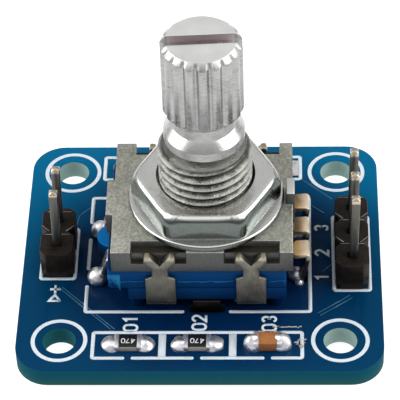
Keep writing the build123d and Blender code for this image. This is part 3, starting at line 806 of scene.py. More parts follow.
MASK = solder_mask_finish()
INK = ink_finish()
TRACK = covered_copper_finish()
CAST = die_cast_finish()
THREAD = thread_finish()
NICKEL = nickel_finish()
ALUMINIUM = turned_aluminium_finish()
STRAP = sheet_finish("strap_steel", (0.13, 0.125, 0.105), (0.22, 0.212, 0.18), 0.34, 2.3, 3.1, 7.2)
SPRING = sheet_finish("spring_steel", (0.42, 0.42, 0.42), (0.66, 0.66, 0.66), 0.22)
TINNED = sheet_finish("tinned_brass", (0.56, 0.54, 0.50), (0.84, 0.82, 0.78), 0.2)
PIN_PLATE = pin_finish()
BRASS = brass_finish()
SOLDER = solder_finish()
BLUE = blue_plastic_finish()
ROTOR_PLASTIC = moulding_finish("rotor_plastic", (0.62, 0.60, 0.54), (0.80, 0.79, 0.74), 0.4)
HEADER = moulding_finish("header_plastic", (0.003, 0.002, 0.0015), (0.020, 0.014, 0.010), 0.38, 0.3)
# painted highlight: the pale glints along the headers' edges
HEADER_GLINT = moulding_finish("header_edge_glint", (0.10, 0.09, 0.085), (0.30, 0.28, 0.27), 0.35)
RESISTOR = resistor_finish()
CAPACITOR = moulding_finish("capacitor_ceramic", (0.15, 0.050, 0.014), (0.38, 0.155, 0.055), 0.35, 0.09)
print("finishes:", len(bpy.data.materials))

# %% [markdown]
# ## The board
#
# A fibre-glass panel routed from a sheet and drilled. It could be drawn again from its outline,
# but its shape is right in the CAD, so a copy of that mesh is used and its edges are broken by
# five hundredths of a millimetre, as the router leaves them.

# %% Board
softened("circuit_board", MASK, 0.05, "board_panel", angle=60)

# %% [markdown]
# ## The print
#
# White ink is screened on the mask. The rings round the mounting holes differ a little in
# size, as each sits where its hole was meant to be. A torus would be round on top, while ink is
# flat, so each ring is turned from a flat outline.

# %% Printed rings
INK_H = 0.03
RING_R = {-1: {-1: 1.97, 1: 2.09}, 1: {-1: 2.03, 1: 2.11}}
RING_HALF = 0.15
RING_STEPS = 72


def make_rings():
    bm = bmesh.new()
    for side, radii in RING_R.items():
        for end, radius in radii.items():
            inner, outer, top = radius - RING_HALF, radius + RING_HALF, BOARD_TOP + INK_H
            sizes = [(inner, BOARD_TOP), (outer, BOARD_TOP), (outer, top), (inner, top)]
            turned(bm, sizes, RING_STEPS, (side * HOLE_X, end * HOLE_Y), tube=True)
    outward(bm)
    piece(bm, "print_rings", INK)


make_rings()


# %% [markdown]
# The other lines frame the encoder, the headers and the chips. A flat curve with a bevel could
# draw them, but it narrows at its corners. Here a line is a path of edges pulled up into a low
# wall, which a Solidify modifier thickens to both sides with an even offset, so the line keeps
# its width round every corner. Open ends get a small disc, as ink has round ends.


# %% Tools for lines
def path(bm, points, z, height=INK_H):
    """A low wall along the points."""
    _, edges = row(bm, [(x, y, z) for x, y in points])
    top, _ = pulled(bm, edges)
    bmesh.ops.translate(bm, vec=(0, 0, height), verts=top)


def thicken(made, width):
    modifier = made.modifiers.new("width", "SOLIDIFY")
    modifier.thickness = width * MM
    modifier.offset = 0
    modifier.use_even_offset = True


def frame_path(x0, x1, y0, y1):
    """A rectangle as an open path that meets itself half-way along its left side."""
    y = (y0 + y1) / 2
    return [(x0, y), (x0, y1), (x1, y1), (x1, y0), (x0, y0), (x0, y - 0.001)]


def round_corners(points, radius=0.16, steps=4):
    """The points with each corner replaced by an arc, since ink has no sharp corners."""
    places = [Vector(p) for p in points]
    result = [places[0]]
    for before, corner, after in zip(places, places[1:], places[2:]):
        start = corner + (before - corner).normalized() * radius
        end = corner + (after - corner).normalized() * radius
        for i in range(steps + 1):
            share = i / steps
            result.append(start.lerp(corner, share).lerp(corner.lerp(end, share), share))
    return result + [places[-1]]


# %% Outlines round the encoder, the headers and the chips
ENC_X0, ENC_X1 = -8.7, 8.3
ENC_Y = 6.1
LUG_GAP = (-1.35, 2.3)
SWITCH_GAPS = ((-3.5, -1.6), (1.5, 3.4))
SEATS = ("resistor_left", "resistor_middle", "capacitor")
CHIP_XS = [middle(f"front_{seat}").x for seat in SEATS]
CHIP_GAP = 0.38
ROW_X0, ROW_X1 = -7.95, 7.65
ROW_INNER, ROW_OUTER = 8.2, 10.75
HEADER_FRAMES = (("power_header_body", 1.3), ("signal_header_body", 1.36))
HEADER_GAP = 0.12
DIVIDERS = (-2.77, 2.49)
LINE_WIDTH = 0.28
BAR_WIDTH = 0.56
END_H = INK_H - 0.005
END_STEPS = 20


def outlines():
    """Every printed line as a path of points."""
    (y0, y1), (y2, y3) = SWITCH_GAPS
    lines = [
        [(LUG_GAP[0], -ENC_Y), (ENC_X0, -ENC_Y), (ENC_X0, y0)],
        [(ENC_X0, y1), (ENC_X0, y2)],
        [(ENC_X0, y3), (ENC_X0, ENC_Y), (ENC_X1, ENC_Y), (ENC_X1, -ENC_Y), (LUG_GAP[1], -ENC_Y)],
    ]
    first, second, third = CHIP_XS
    for side in (-1, 1):
        inner, outer = side * ROW_INNER, side * ROW_OUTER
        lines += [
            [(first - CHIP_GAP, outer), (ROW_X0, outer), (ROW_X0, inner), (ROW_X1, inner), (ROW_X1, outer),
             (third + CHIP_GAP, outer)],
            [(first + CHIP_GAP, outer), (second - CHIP_GAP, outer)],
            [(second + CHIP_GAP, outer), (third - CHIP_GAP, outer)],
        ]
    for header, reach in HEADER_FRAMES:
        centre, up = middle(header), half(header).y + HEADER_GAP
        lines.append(frame_path(centre.x - reach, centre.x + reach, centre.y - up, centre.y + up))
    return lines


def make_lines():
    bm = bmesh.new()
    ends = bmesh.new()
    for line in outlines():
        path(bm, round_corners(line), BOARD_TOP)
        is_open = (Vector(line[0]) - Vector(line[-1])).length > LINE_WIDTH
        for spot in (line[0], line[-1]) if is_open else ():
            turned(ends, [(LINE_WIDTH / 2, BOARD_TOP), (LINE_WIDTH / 2, BOARD_TOP + END_H)], END_STEPS, spot)
    thicken(piece(bm, "print_lines", INK), LINE_WIDTH)
    outward(ends)
    piece(ends, "print_line_ends", INK)


def make_bars():
    """The wide bars between the chips, clear of the lines above and below them."""
    bm = bmesh.new()
    inset = LINE_WIDTH / 2 - 0.01
    for x in DIVIDERS:
        for side in (-1, 1):
            path(bm, [(x, side * (ROW_INNER + inset)), (x, side * (ROW_OUTER - inset))], BOARD_TOP)
    thicken(piece(bm, "print_bars", INK), BAR_WIDTH)


make_lines()
make_bars()


# %% [markdown]
# The pins and chips are numbered, and the power header has a plus sign and an arrow. A text
# object would bring a typeface with it and filled outlines that are heavy as a mesh. Board
# makers plot such marks with one pen, so each sign here is a stroke or two through the same
# low-wall tool: straight runs as points, round ones as arcs.


# %% Numerals and signs
def arc(cx, cy, radius, start, end, steps=10):
    turn = math.radians(end - start) / steps
    first = math.radians(start)
    return [(cx + radius * math.cos(first + i * turn), cy + radius * math.sin(first + i * turn))
            for i in range(steps + 1)]


STROKES = {
    "0": [arc(0.3, 0.7, 0.3, 0, 180) + arc(0.3, 0.3, 0.3, 180, 360) + [(0.6, 0.68)]],
    "1": [[(0.1, 0.8), (0.35, 1.0), (0.35, 0.0)]],
    "2": [arc(0.3, 0.72, 0.28, 170, -40) + [(0.02, 0.0), (0.62, 0.0)]],
    "3": [arc(0.3, 0.75, 0.25, 160, -90), arc(0.3, 0.25, 0.25, 90, -160)],
    "4": [[(0.45, 0.0), (0.45, 1.0), (0.0, 0.3), (0.62, 0.3)]],
    "7": [[(0.0, 1.0), (0.6, 1.0), (0.2, 0.0)]],
    "+": [[(0.0, 0.5), (0.8, 0.5)], [(0.4, 0.1), (0.4, 0.9)]],
    ">": [[(0.1, 0.1), (0.1, 0.9), (0.7, 0.5), (0.1, 0.12)]],
}
SIGN_W = 0.6
ADVANCE = 0.85


def write(bm, text, centre, height, turn, z, rise=INK_H):
    """Draws signs with a stroke font round a centre, turned by turn degrees."""
    width = (len(text) * ADVANCE - (ADVANCE - SIGN_W)) * height
    c, s = math.cos(math.radians(turn)), math.sin(math.radians(turn))
    for i, sign in enumerate(text):
        for line in STROKES[sign]:
            flat = [((u + i * ADVANCE) * height - width / 2, (v - 0.5) * height) for u, v in line]
            path(bm, [(centre[0] + c * u - s * v, centre[1] + s * u + c * v) for u, v in flat], z, rise)


MARK_STROKE = 0.19
MARK_H = 1.0
PIN_MARKS_X = 9.25
PIN_MARKS = {"1": -2.55, "2": 0.05, "3": 2.7}
CHIP_MARKS = {"01": -7.3, "02": -7.2, "03": -7.3}
POWER_MARK = (-11.1, -4.3)


def make_marks():
    bm = bmesh.new()
    for sign, y in PIN_MARKS.items():
        write(bm, sign, (PIN_MARKS_X, y), 0.98 * MARK_H, 90, BOARD_TOP)
    for (sign, y), x in zip(CHIP_MARKS.items(), CHIP_XS):
        write(bm, sign, (x + 0.1, y), MARK_H, 90, BOARD_TOP)
    write(bm, ">+", POWER_MARK, 1.05 * MARK_H, 90, BOARD_TOP)
    thicken(piece(bm, "print_marks", INK), MARK_STROKE)


make_marks()

# %% [markdown]
# ## Copper under the mask
#
# Thin copper tracks under the mask show as slightly raised, paler lines. A texture could paint
# them, but it would have to be drawn first, and it would have no edge to catch the light. They
# are made with the same path tool as the print, only lower and in the mask's own gloss.

# %% Tracks
TRACK_H = 0.012
TRACK_WIDTH = 0.085


def make_tracks():
    bm = bmesh.new()
    fronts = [
        [(-10.9, -3.5), (-6.7, -7.85)],
        [(-10.6, -3.5), (-6.4, -7.85)],
        [(7.63, 8.33), (10.13, 5.94)],
        [(8.47, 5.27), (9.48, 4.38)],
        [(9.23, -1.99), (10.17, -0.94)],
        [(8.87, -6.24), (11.32, -4.4)],
        [(9.05, -6.48), (11.5, -4.64)],
        [(8.35, 0.1), (10.1, 0.1)],
        [(-8.4, 5.6), (-9.7, 4.2), (-9.9, 2.9)],
    ]
    backs = [
        [(-11.0, 1.27), (-6.0, 5.5), (4.0, 5.5), (11.5, 2.54)],
        [(-11.0, -1.27), (-7.0, -5.5), (2.0, -7.2), (6.2, -7.2)],
        [(7.7, 0.0), (11.5, 0.0)],
        [(7.7, -2.6), (11.5, -2.54)],
    ]
    for line in fronts:
        path(bm, line, BOARD_TOP, TRACK_H)
    for line in backs:
        path(bm, line, -TRACK_H, TRACK_H)
    thicken(piece(bm, "covered_tracks", TRACK), TRACK_WIDTH)


make_tracks()

# %% [markdown]
# ## Plate and bushing
#
# They are one die-casting on the bench. Here they are two closed meshes that meet at the
# mounting face. A stack of rings would look like a thread from afar, but its grooves would not
# climb. So one pitch of the outline is spun with a small lift at every step, which is a true
# helix. The tube's ends are cut flat, its tip is chamfered by pulling points in to a cone, and
# the bore closes it.

# %% Threaded bushing
BUSHING_TOP = high("bushing_plate").z
PITCH = 0.75
THREAD_DEPTH = 0.42
THREAD_STEPS = 72
THREAD_ROOT_R = BUSHING_R - THREAD_DEPTH
THREAD_OUTLINE = (
    (THREAD_ROOT_R, 0.0), (THREAD_ROOT_R, 0.12), (BUSHING_R, 0.36), (BUSHING_R, 0.46), (THREAD_ROOT_R, PITCH),
)
TIP_CHAMFER = 0.38
BORE_R = 2.23


def spin_thread(bm):
    """The helix, cut flat at both ends, with its tip pulled in to a cone."""
    verts, edges = row(bm, [(r, 0, FACE_Z - PITCH + z) for r, z in THREAD_OUTLINE])
    turns = math.ceil((BUSHING_TOP - FACE_Z) / PITCH) + 2
    bmesh.ops.spin(
        bm, geom=verts + edges, cent=(0, 0, 0), axis=(0, 0, 1), dvec=(0, 0, PITCH / THREAD_STEPS),
        angle=math.tau * turns, steps=THREAD_STEPS * turns, use_merge=False, use_duplicate=False,
    )
    bmesh.ops.remove_doubles(bm, verts=bm.verts, dist=0.001)
    cut(bm, (0, 0, FACE_Z), (0, 0, 1), clear_inner=True)
    cut(bm, (0, 0, BUSHING_TOP), (0, 0, 1), clear_outer=True)
    for vert in bm.verts:
        limit = BUSHING_R - max(0, vert.co.z - BUSHING_TOP + TIP_CHAMFER)
        radius = vert.co.xy.length
        if radius > limit:
            vert.co.xy *= limit / radius


def open_rim(bm, height):
    return [e for e in bm.edges if e.is_boundary and all(abs(v.co.z - height) < 0.001 for v in e.verts)]


def make_thread():
    bm = bmesh.new()
    spin_thread(bm)
    low_rim, high_rim = open_rim(bm, FACE_Z), open_rim(bm, BUSHING_TOP)
    bore = bmesh.ops.create_circle(bm, segments=THREAD_STEPS, radius=BORE_R)["verts"]
    bmesh.ops.translate(bm, vec=(0, 0, FACE_Z), verts=bore)
    low_ring = list({e for v in bore for e in v.link_edges})
    top, high_ring = pulled(bm, low_ring)
    bmesh.ops.translate(bm, vec=(0, 0, BUSHING_TOP - FACE_Z), verts=top)
    bmesh.ops.bridge_loops(bm, edges=low_rim + low_ring)
    bmesh.ops.bridge_loops(bm, edges=high_rim + high_ring)
    bmesh.ops.translate(bm, vec=(AXIS.x, AXIS.y, 0), verts=bm.verts)
    outward(bm)
    piece(bm, "threaded_bushing", THREAD, nodes=["bushing_plate"], sharp=50)


make_thread()


# %% [markdown]
# The plate keeps its CAD shape. The bushing's faces are deleted and the hole that they leave is
# bridged, and the pip, a small stop that keeps the encoder from turning in a panel, is made
# squatter. A casting has no sharp edge, so every one of them is rounded well.

# %% The plate
PIP_HALF_CAD = 0.6
PIP_STRETCH = 1.76
PIP_SQUASH = 0.75
CAST_EDGE = 0.13


def make_plate():
    """The CAD casting without its bushing, with the rounded edges of a casting."""
    bm = cad_copy("bushing_plate")
    for vert in bm.verts:
        if vert.co.x > AXIS.x + PIP_FROM_X and abs(vert.co.y - AXIS.y) < PIP_HALF_CAD:
            vert.co.y = AXIS.y + (vert.co.y - AXIS.y) * PIP_STRETCH
            vert.co.z = FACE_Z + (vert.co.z - FACE_Z) * (PIP_SQUASH if vert.co.z > FACE_Z else 1)
    cut(bm, (0, 0, FACE_Z), (0, 0, 1))
    near = BUSHING_R + 0.05
    gone = [
        f for f in bm.faces
        if all((v.co.xy - AXIS.xy).length < near and v.co.z > FACE_Z - 0.001 for v in f.verts)
    ]
    bmesh.ops.delete(bm, geom=gone, context="FACES")
    bmesh.ops.bridge_loops(bm, edges=[e for e in bm.edges if e.is_boundary])
    bmesh.ops.dissolve_limit(bm, angle_limit=math.radians(1), verts=bm.verts, edges=bm.edges)
    edges = [e for e in corners(bm, 40) if all((v.co.xy - AXIS.xy).length > near for v in e.verts)]
    soften(bm, edges, CAST_EDGE, 3)
    piece(bm, "plate_casting", CAST, nodes=["bushing_plate"])


make_plate()

# %% [markdown]
# ## Washer and nut
#
# The washer is punched from sheet, which rounds its upper rim and leaves the lower one sharp. A
# cylinder with a bevel would round both the same, so it is turned from an outline.

# %% Washer
WASHER_R = half("mounting_washer").x
WASHER_TOP = high("mounting_washer").z
WASHER_BORE = BUSHING_R + 0.05
WASHER_STEPS = 128


def make_washer():
    bm = bmesh.new()
    rings = [(WASHER_BORE, FACE_Z), (WASHER_R - 0.08, FACE_Z), (WASHER_R, FACE_Z + 0.1)]
    rings += rounded(WASHER_R, WASHER_TOP, 0.16, 4)
    rings += [(WASHER_BORE + 0.08, WASHER_TOP), (WASHER_BORE, WASHER_TOP - 0.08)]
    turned(bm, rings, WASHER_STEPS, AXIS, tube=True)
    outward(bm)
    piece(bm, "pressed_washer", NICKEL, nodes=["mounting_washer"])


make_washer()

# %% [markdown]
# The nut is turned from hexagon bar: a cone takes off the six corners, and tumbling rounds the
# top edge. A prism cut with a cone would need a boolean and a bevel over many odd corners. With
# rings it is simpler: each ring follows the hexagon, pulled in by the rounding and let down by
# the cone wherever it reaches beyond the cone's start.

# %% Nut
NUT_LOW = low("mounting_nut").z
NUT_TOP = high("mounting_nut").z
NUT_FLAT = half("mounting_nut").y
NUT_CORNER_R = 5.62
CONE_R = 5.10
CONE_SLOPE = math.tan(math.radians(32))
TUMBLED = 0.56
TUMBLED_STEPS = 5
NUT_FOOT = 0.1
NUT_BORE = BUSHING_R + 0.03
NUT_MOUTH = 0.18
NUT_STEPS = 216


def hexagon(angle):
    """The hexagon's radius at an angle, with flats at the front and back and worn corners."""
    sixth = math.pi / 3
    off_flat = (angle - math.pi / 2) % sixth
    off_flat = min(off_flat, sixth - off_flat)
    return min(NUT_FLAT / math.cos(off_flat), NUT_CORNER_R)


def nut_top(radius):
    return NUT_TOP - max(0, radius - CONE_R) * CONE_SLOPE


def nut_edge(share):
    """A ring of the tumbled edge: share runs from 0 on the side to 1 on the top."""
    turn = share * math.pi / 2

    def ring(angle):
        radius = hexagon(angle) - TUMBLED * (1 - math.cos(turn))
        return radius, nut_top(radius) - TUMBLED * (1 - math.sin(turn))

    return ring


def make_nut():
    bm = bmesh.new()
    rings = [(NUT_BORE, NUT_LOW)]
    rings += [lambda a: (hexagon(a) - NUT_FOOT, NUT_LOW), lambda a: (hexagon(a), NUT_LOW + NUT_FOOT)]
    rings += [nut_edge(i / TUMBLED_STEPS) for i in range(TUMBLED_STEPS + 1)]
    rings += [lambda a: (min(hexagon(a) - TUMBLED, CONE_R) - 0.05, NUT_TOP)]
    rings += [(NUT_BORE + NUT_MOUTH, NUT_TOP), (NUT_BORE, NUT_TOP - NUT_MOUTH)]
    turned(bm, rings, NUT_STEPS, AXIS, tube=True)
    outward(bm)
    piece(bm, "hexagon_nut", NICKEL, nodes=["mounting_nut"], sharp=28)


make_nut()

# %% [markdown]
# ## The shaft
#
# Turned aluminium: a knurl of eighteen rolled grooves, a screwdriver slot, a neck, a collar
# and the stem that runs down to the rotor. The grooves could be cut out with eighteen copies of
# a tool; as a ring function that dips eighteen times they are part of the turning. The slot is
# cut with three planes, and its floor and walls are filled in, because a boolean would leave
# thin, uneven faces round the knurl.

# %% Shaft
SHAFT_LOW = low("shaft").z
KNURL_LOW = SHAFT_TOP - 6.5
KNURL_COUNT = 18
KNURL_DEPTH = 0.27
STEPS_A_GROOVE = 16
NECK_R = 2.4
COLLAR_TOP = 15.7
COLLAR_EDGE = 15.12
COLLAR_LOW = 14.3
STEM_R = 2.2
CLIP_TOP, CLIP_LOW, CLIP_R = high("shaft_clip").z, low("shaft_clip").z, 1.7
DRIVE_R = 1.95
DRIVE_FLAT = 1.4
SLOT_HALF = 0.5
SLOT_TURN = math.radians(3.2)
SLOT_EDGE = 0.06


def knurl(radius, height):
    """A ring of the knurl: never outside radius, with its grooves sunk below the shaft's size."""

    def ring(angle):
        dip = (0.5 + 0.5 * math.cos(KNURL_COUNT * angle)) ** 2.2
        return min(radius, SHAFT_R - KNURL_DEPTH * dip), height

    return ring


def double_d(height):
    """A ring of the driving end, flattened front and back."""

    def ring(angle):
        return min(DRIVE_R, DRIVE_FLAT / max(abs(math.sin(angle)), 0.01)), height

    return ring


def cut_slot(bm):
    cut(bm, (0, 0, SLOT_FLOOR), (0, 0, 1))
    for y in (-SLOT_HALF, SLOT_HALF):
        above = [f for f in bm.faces if f.calc_center_median().z > SLOT_FLOOR]
        parts = above + list({e for f in above for e in f.edges}) + list({v for f in above for v in f.verts})
        cut(bm, (0, y, 0), (0, 1, 0), parts)
    middle_faces = []
    for face in bm.faces:
        centre = face.calc_center_median()
        if centre.z > SLOT_FLOOR and abs(centre.y) < SLOT_HALF:
            middle_faces.append(face)
    bmesh.ops.delete(bm, geom=middle_faces, context="FACES")
    rim = [e for e in bm.edges if e.is_boundary]
    for y in (-SLOT_HALF, SLOT_HALF):
        wall = [e for e in rim if all(abs(v.co.y - y) < 0.001 for v in e.verts)]
        ends = [v for e in wall for v in e.verts if abs(v.co.z - SLOT_FLOOR) < 0.001]
        wall.append(bm.edges.new((min(ends, key=lambda v: v.co.x), max(ends, key=lambda v: v.co.x))))
        bmesh.ops.edgeloop_fill(bm, edges=wall)
    floor = [e for e in bm.edges if len(e.link_faces) == 1]
    bmesh.ops.edgeloop_fill(bm, edges=floor)


def shaft_rings():
    """The shaft's outline from its driving end up to its top."""
    stem = [
        double_d(SHAFT_LOW), double_d(CLIP_LOW), (CLIP_R, CLIP_LOW), (CLIP_R, CLIP_TOP),
        (STEM_R, CLIP_TOP), (STEM_R, COLLAR_LOW),
    ]
    collar = [
        (SHAFT_R - 0.06, COLLAR_LOW), (SHAFT_R, COLLAR_LOW + 0.06),
        (SHAFT_R, COLLAR_EDGE - 0.04), (SHAFT_R - 0.03, COLLAR_EDGE),
        (NECK_R + 0.12, COLLAR_TOP - 0.06), (NECK_R + 0.06, COLLAR_TOP),
    ]
    neck = [(NECK_R, COLLAR_TOP + 0.06), (NECK_R, KNURL_LOW), (SHAFT_R - 0.36, KNURL_LOW)]
    grip = [
        knurl(SHAFT_R - 0.3, KNURL_LOW + 0.02), knurl(SHAFT_R - 0.1, KNURL_LOW + 0.2),
        knurl(SHAFT_R, KNURL_LOW + 0.38), knurl(SHAFT_R, SHAFT_TOP - 0.52),
        knurl(SHAFT_R - 0.08, SHAFT_TOP - 0.37), knurl(SHAFT_R - 0.42, SHAFT_TOP - 0.03),
        (SHAFT_R - 0.45, SHAFT_TOP),
    ]
    return stem + collar + neck + grip


def make_shaft():
    bm = bmesh.new()
    turned(bm, shaft_rings(), KNURL_COUNT * STEPS_A_GROOVE)
    cut_slot(bm)
    for vert in bm.verts:
        if vert.co.z > KNURL_LOW - 0.01:
            vert.co.xy = Matrix.Rotation(SLOT_TURN, 2) @ vert.co.xy
    bmesh.ops.translate(bm, vec=(AXIS.x, AXIS.y, 0), verts=bm.verts)
    outward(bm)
    soften(bm, [e for e in corners(bm, 60) if all(v.co.z > SLOT_FLOOR - 0.01 for v in e.verts)], SLOT_EDGE)
    piece(bm, "knurled_shaft", ALUMINIUM, "shaft", ["shaft"], sharp=30)


make_shaft()

# %% [markdown]
# ## Strap, mouldings, headers and terminals
#
# The strap is bent from sheet, and the housing and the headers are moulded. All have their true
# shapes in the CAD. What a solid lacks is the small radius that pressing, bending or moulding
# leaves on every edge, so each gets a copy with softened edges.

# %% Softened copies
softened("steel_strap", STRAP, 0.07, "bent_strap", angle=40)
softened("contact_housing", BLUE, 0.10, "upper_moulding", angle=50)
softened("switch_base", BLUE, 0.04, "lower_moulding", angle=50)
for header in ("power", "signal"):
    softened(f"{header}_header_body", HEADER, 0.06, f"{header}_header_block")

# %% [markdown]
# Terminals and pins are thin and get bent a little when the part is handled or soldered. Bones
# or a lattice could bend them, but a formula is enough: a copy's points are moved by a smooth
# step of their height, so the foot stays in its hole and only the top leans or reaches out.

# %% Terminals and pins
SIGNAL_STRIPS = ("terminal_a", "terminal_common", "terminal_b")
SWITCH_STRIPS = ("switch_terminal_back", "switch_terminal_front")
METAL_EDGE = 0.05
STRIP_FOOT_Z = 2.1                  # below this the strips narrow to their pins
STRIP_CUTS = (6.86, 6.92)           # where the strips leave the housing
STRIP_WIDER = 0.34
SIGNAL_REACH = Vector((0.48, 0, 0.15))
SWITCH_REACH = Vector((0.62, 0, 0))
POWER_LEAN = Vector((0.10, 0, -POWER_DROP))
SIGNAL_LEAN = Vector((0.16, 0, 0.12))


def step_up(value, start, end):
    """0 at start, 1 at end and a smooth step between."""
    share = min(max((value - start) / (end - start), 0), 1)
    return share * share * (3 - 2 * share)


def signal_sweep(place):
    """The signal strips widen outside the housing and reach further out at the top than below."""
    out = step_up(place.x, 6.7, 7.1) * step_up(place.z, 2.4, 4.2)
    centre = min((middle(name).y for name in SIGNAL_STRIPS), key=lambda y: abs(y - place.y))
    is_strip = place.x > 6.9 and place.z > STRIP_FOOT_Z
    return SIGNAL_REACH * out + Vector((0, (place.y - centre) * STRIP_WIDER if is_strip else 0, 0))


def switch_sweep(place):
    """The switch strips turn down close to the housing and splay out to their holes."""
    return SWITCH_REACH * (step_up(-place.x, 6.9, 7.4) * step_up(place.z, 2.4, 4.0))


def leaning(lean):
    """A shape that moves the pins' tops by lean and leaves their feet in place."""
    return lambda place: lean * step_up(place.z, 4.5, 10.0)


softened("power_header_pins", PIN_PLATE, METAL_EDGE, "power_header_posts", shape=leaning(POWER_LEAN))
softened("signal_header_pins", PIN_PLATE, METAL_EDGE, "signal_header_posts", shape=leaning(SIGNAL_LEAN))
for name in SIGNAL_STRIPS:
    softened(name, BRASS, METAL_EDGE, f"{name}_strip", shape=signal_sweep, cuts=STRIP_CUTS)
for name in SWITCH_STRIPS:
    softened(name, TINNED, METAL_EDGE, f"{name}_strip", shape=switch_sweep)

# %% [markdown]
# ## Painted glints on the headers' edges
#
# Each header comes off a long strip with one cell a pin. A fine pale line along the back of
# every cell and down the two corners where the strip is notched is a painted highlight, the
# glint of the mould's edges. A bump could hint at them, but black plastic hides a bump. They
# are low pale walls, half sunk in the block.

# %% Header ridges
HEADER_CELLS = {"power_header_body": 2, "signal_header_body": 3}
HEADER_PITCH = 2.54
NOTCH = 0.65
RIDGE_HALF = 0.92
RIDGE_SUNK = 0.03
RIDGE_WIDTH = 0.07
LAST_RIDGE_IN = 0.1
POWER_RIDGE_IN = 0.2


def make_ridges():
    bm = bmesh.new()
    for node, cells in HEADER_CELLS.items():
        lo, hi = low(node), high(node)
        foot = hi.z - RIDGE_SUNK
        for i in range(1, cells + 1):
            back = lo.y + HEADER_PITCH * i - 0.12
            back -= (i == cells) * LAST_RIDGE_IN + (cells == 2) * POWER_RIDGE_IN
            path(bm, [(middle(node).x - RIDGE_HALF, back), (middle(node).x + RIDGE_HALF, back)], foot, 0.05)
        for i in range(1, cells):
            seam = lo.y + HEADER_PITCH * i
            for edge, side in ((lo.x, 1), (hi.x, -1)):
                corner = (edge + side * 0.04, seam + NOTCH - 0.02)
                path(bm, [corner, (edge + side * (NOTCH - 0.02), seam + 0.04)], foot, 0.045)
    thicken(piece(bm, "header_glint_ridges", HEADER_GLINT), RIDGE_WIDTH)


make_ridges()

# %% [markdown]
# ## Flash on the moulding
#
# Where the two halves of the mould met, a thin skin of plastic has been squeezed out, with a
# torn flap at the left corner and a flake beside the right leg. A cloth simulation would be too
# much for a sliver. It is a ragged ribbon: a row of edges, pulled by a length that wanders.

# %% Flash
PARTING = low("contact_housing").z + 0.75
HOUSING_FRONT = low("contact_housing").y
FLASH_SPANS = ((-6.7, -4.1), (-1.7, 2.6), (5.2, 6.4))
FLASH_STEP = 0.12
FLASH_SKIN = 0.05
TORN_STEPS = 9
TORN = ((-6.83, -5.9, 5.5, 1.6), (2.62, 2.86, 2.75, 0.32))      # from x, to x, top and drop
FLASH = moulding_finish("pale_flash", (0.003, 0.06, 0.19), (0.008, 0.15, 0.34), 0.3)


def wander(along, seed):
    """A smooth random value, about -1 to 1 and the same at every run."""
    return noise.noise(Vector((along, seed, 0.0)))


def ribbon(bm, x0, x1, steps, y, z):
    """Pulls a row of edges along x and gives the new points, for the caller to move."""
    _, edges = row(bm, [(x0 + (x1 - x0) * i / steps, y, z) for i in range(steps + 1)])
    return pulled(bm, edges)[0]


def make_flash():
    bm = bmesh.new()
    for x0, x1 in FLASH_SPANS:
        for vert in ribbon(bm, x0, x1, int((x1 - x0) / FLASH_STEP), HOUSING_FRONT + 0.05, PARTING):
            vert.co.y -= 0.11 + 0.09 * wander(vert.co.x * 1.7, 0.3)
            vert.co.z += 0.16 * wander(vert.co.x * 0.9, 4.1)
    thicken(piece(bm, "moulding_flash", FLASH), FLASH_SKIN)


def make_torn_flash():
    bm = bmesh.new()
    for x0, x1, top, drop in TORN:
        for vert in ribbon(bm, x0, x1, TORN_STEPS, HOUSING_FRONT - 0.03, top):
            share = (vert.co.x - x0) / (x1 - x0)
            vert.co.z -= drop * (0.35 + 0.65 * share ** 2 + 0.3 * wander(vert.co.x * 6.1, 1.9))
            vert.co.y -= 0.05 * share
    thicken(piece(bm, "torn_flash", FLASH), FLASH_SKIN)


make_flash()
make_torn_flash()

# %% [markdown]
# ## Chips
#
# A chip resistor is a white ceramic chip with a black glass coat and a silvery cap at each
# end; the capacitor is brown ceramic with the same caps. The caps could be a second material on
# the chip's ends, but on the real part they are dipped on and stand out. So they are sleeves, a
# little larger than the chip. The codes on the resistors are plain numerals.

# %% Chips and their caps
CHIP_NODES = [f"{line}_{seat}" for line in ("front", "back") for seat in SEATS]
CAP_LENGTH = 0.33
CAP_SKIN = 0.03
CAP_EDGE = 0.05
RESISTOR_EDGE = 0.04
CAPACITOR_EDGE = 0.16


def block(bm, lowest, highest, round_by=0.0):
    """A box given by two corners, with all its edges rounded."""
    size = Vector(highest) - Vector(lowest)
    made = bmesh.ops.create_cube(bm, size=1)["verts"]
    bmesh.ops.scale(bm, vec=size, verts=made)
    bmesh.ops.translate(bm, vec=(Vector(highest) + Vector(lowest)) / 2, verts=made)
    if round_by:
        soften(bm, list({e for v in made for e in v.link_edges}), round_by)


def make_chips():
    for node in CHIP_NODES:
        if "capacitor" in node:
            softened(node, CAPACITOR, CAPACITOR_EDGE, f"{node}_chip", segments=3)
        else:
            softened(node, RESISTOR, RESISTOR_EDGE, f"{node}_chip")
    bm = bmesh.new()
    for node in CHIP_NODES:
        lo, hi = low(node), high(node)
        for x0, x1 in ((lo.x - CAP_SKIN, lo.x + CAP_LENGTH), (hi.x - CAP_LENGTH, hi.x + CAP_SKIN)):
            block(bm, (x0, lo.y - CAP_SKIN, lo.z), (x1, hi.y + CAP_SKIN, hi.z + CAP_SKIN), CAP_EDGE)
    outward(bm)
    piece(bm, "chip_caps", SOLDER)


CODE = "470"
CODE_H = 0.42
CODE_RISE = 0.012
CODE_STROKE = 0.07


def make_codes():
    bm = bmesh.new()
    for node in CHIP_NODES:
        if "resistor" in node:
            write(bm, CODE, middle(node).xy, CODE_H, 180, high(node).z, CODE_RISE)
    thicken(piece(bm, "chip_codes", INK), CODE_STROKE)


make_chips()
make_codes()

# %% [markdown]
# ## Solder
#
# Solder freezes as a smooth bright blob with a slightly uneven skin. Metaballs would melt blobs
# together, but their mesh is hard to control. Here each blob starts as an icosphere, is
# stretched over its pad, sinks flat on the board, and gets a gentle seeded unevenness, so no two
# are the same.


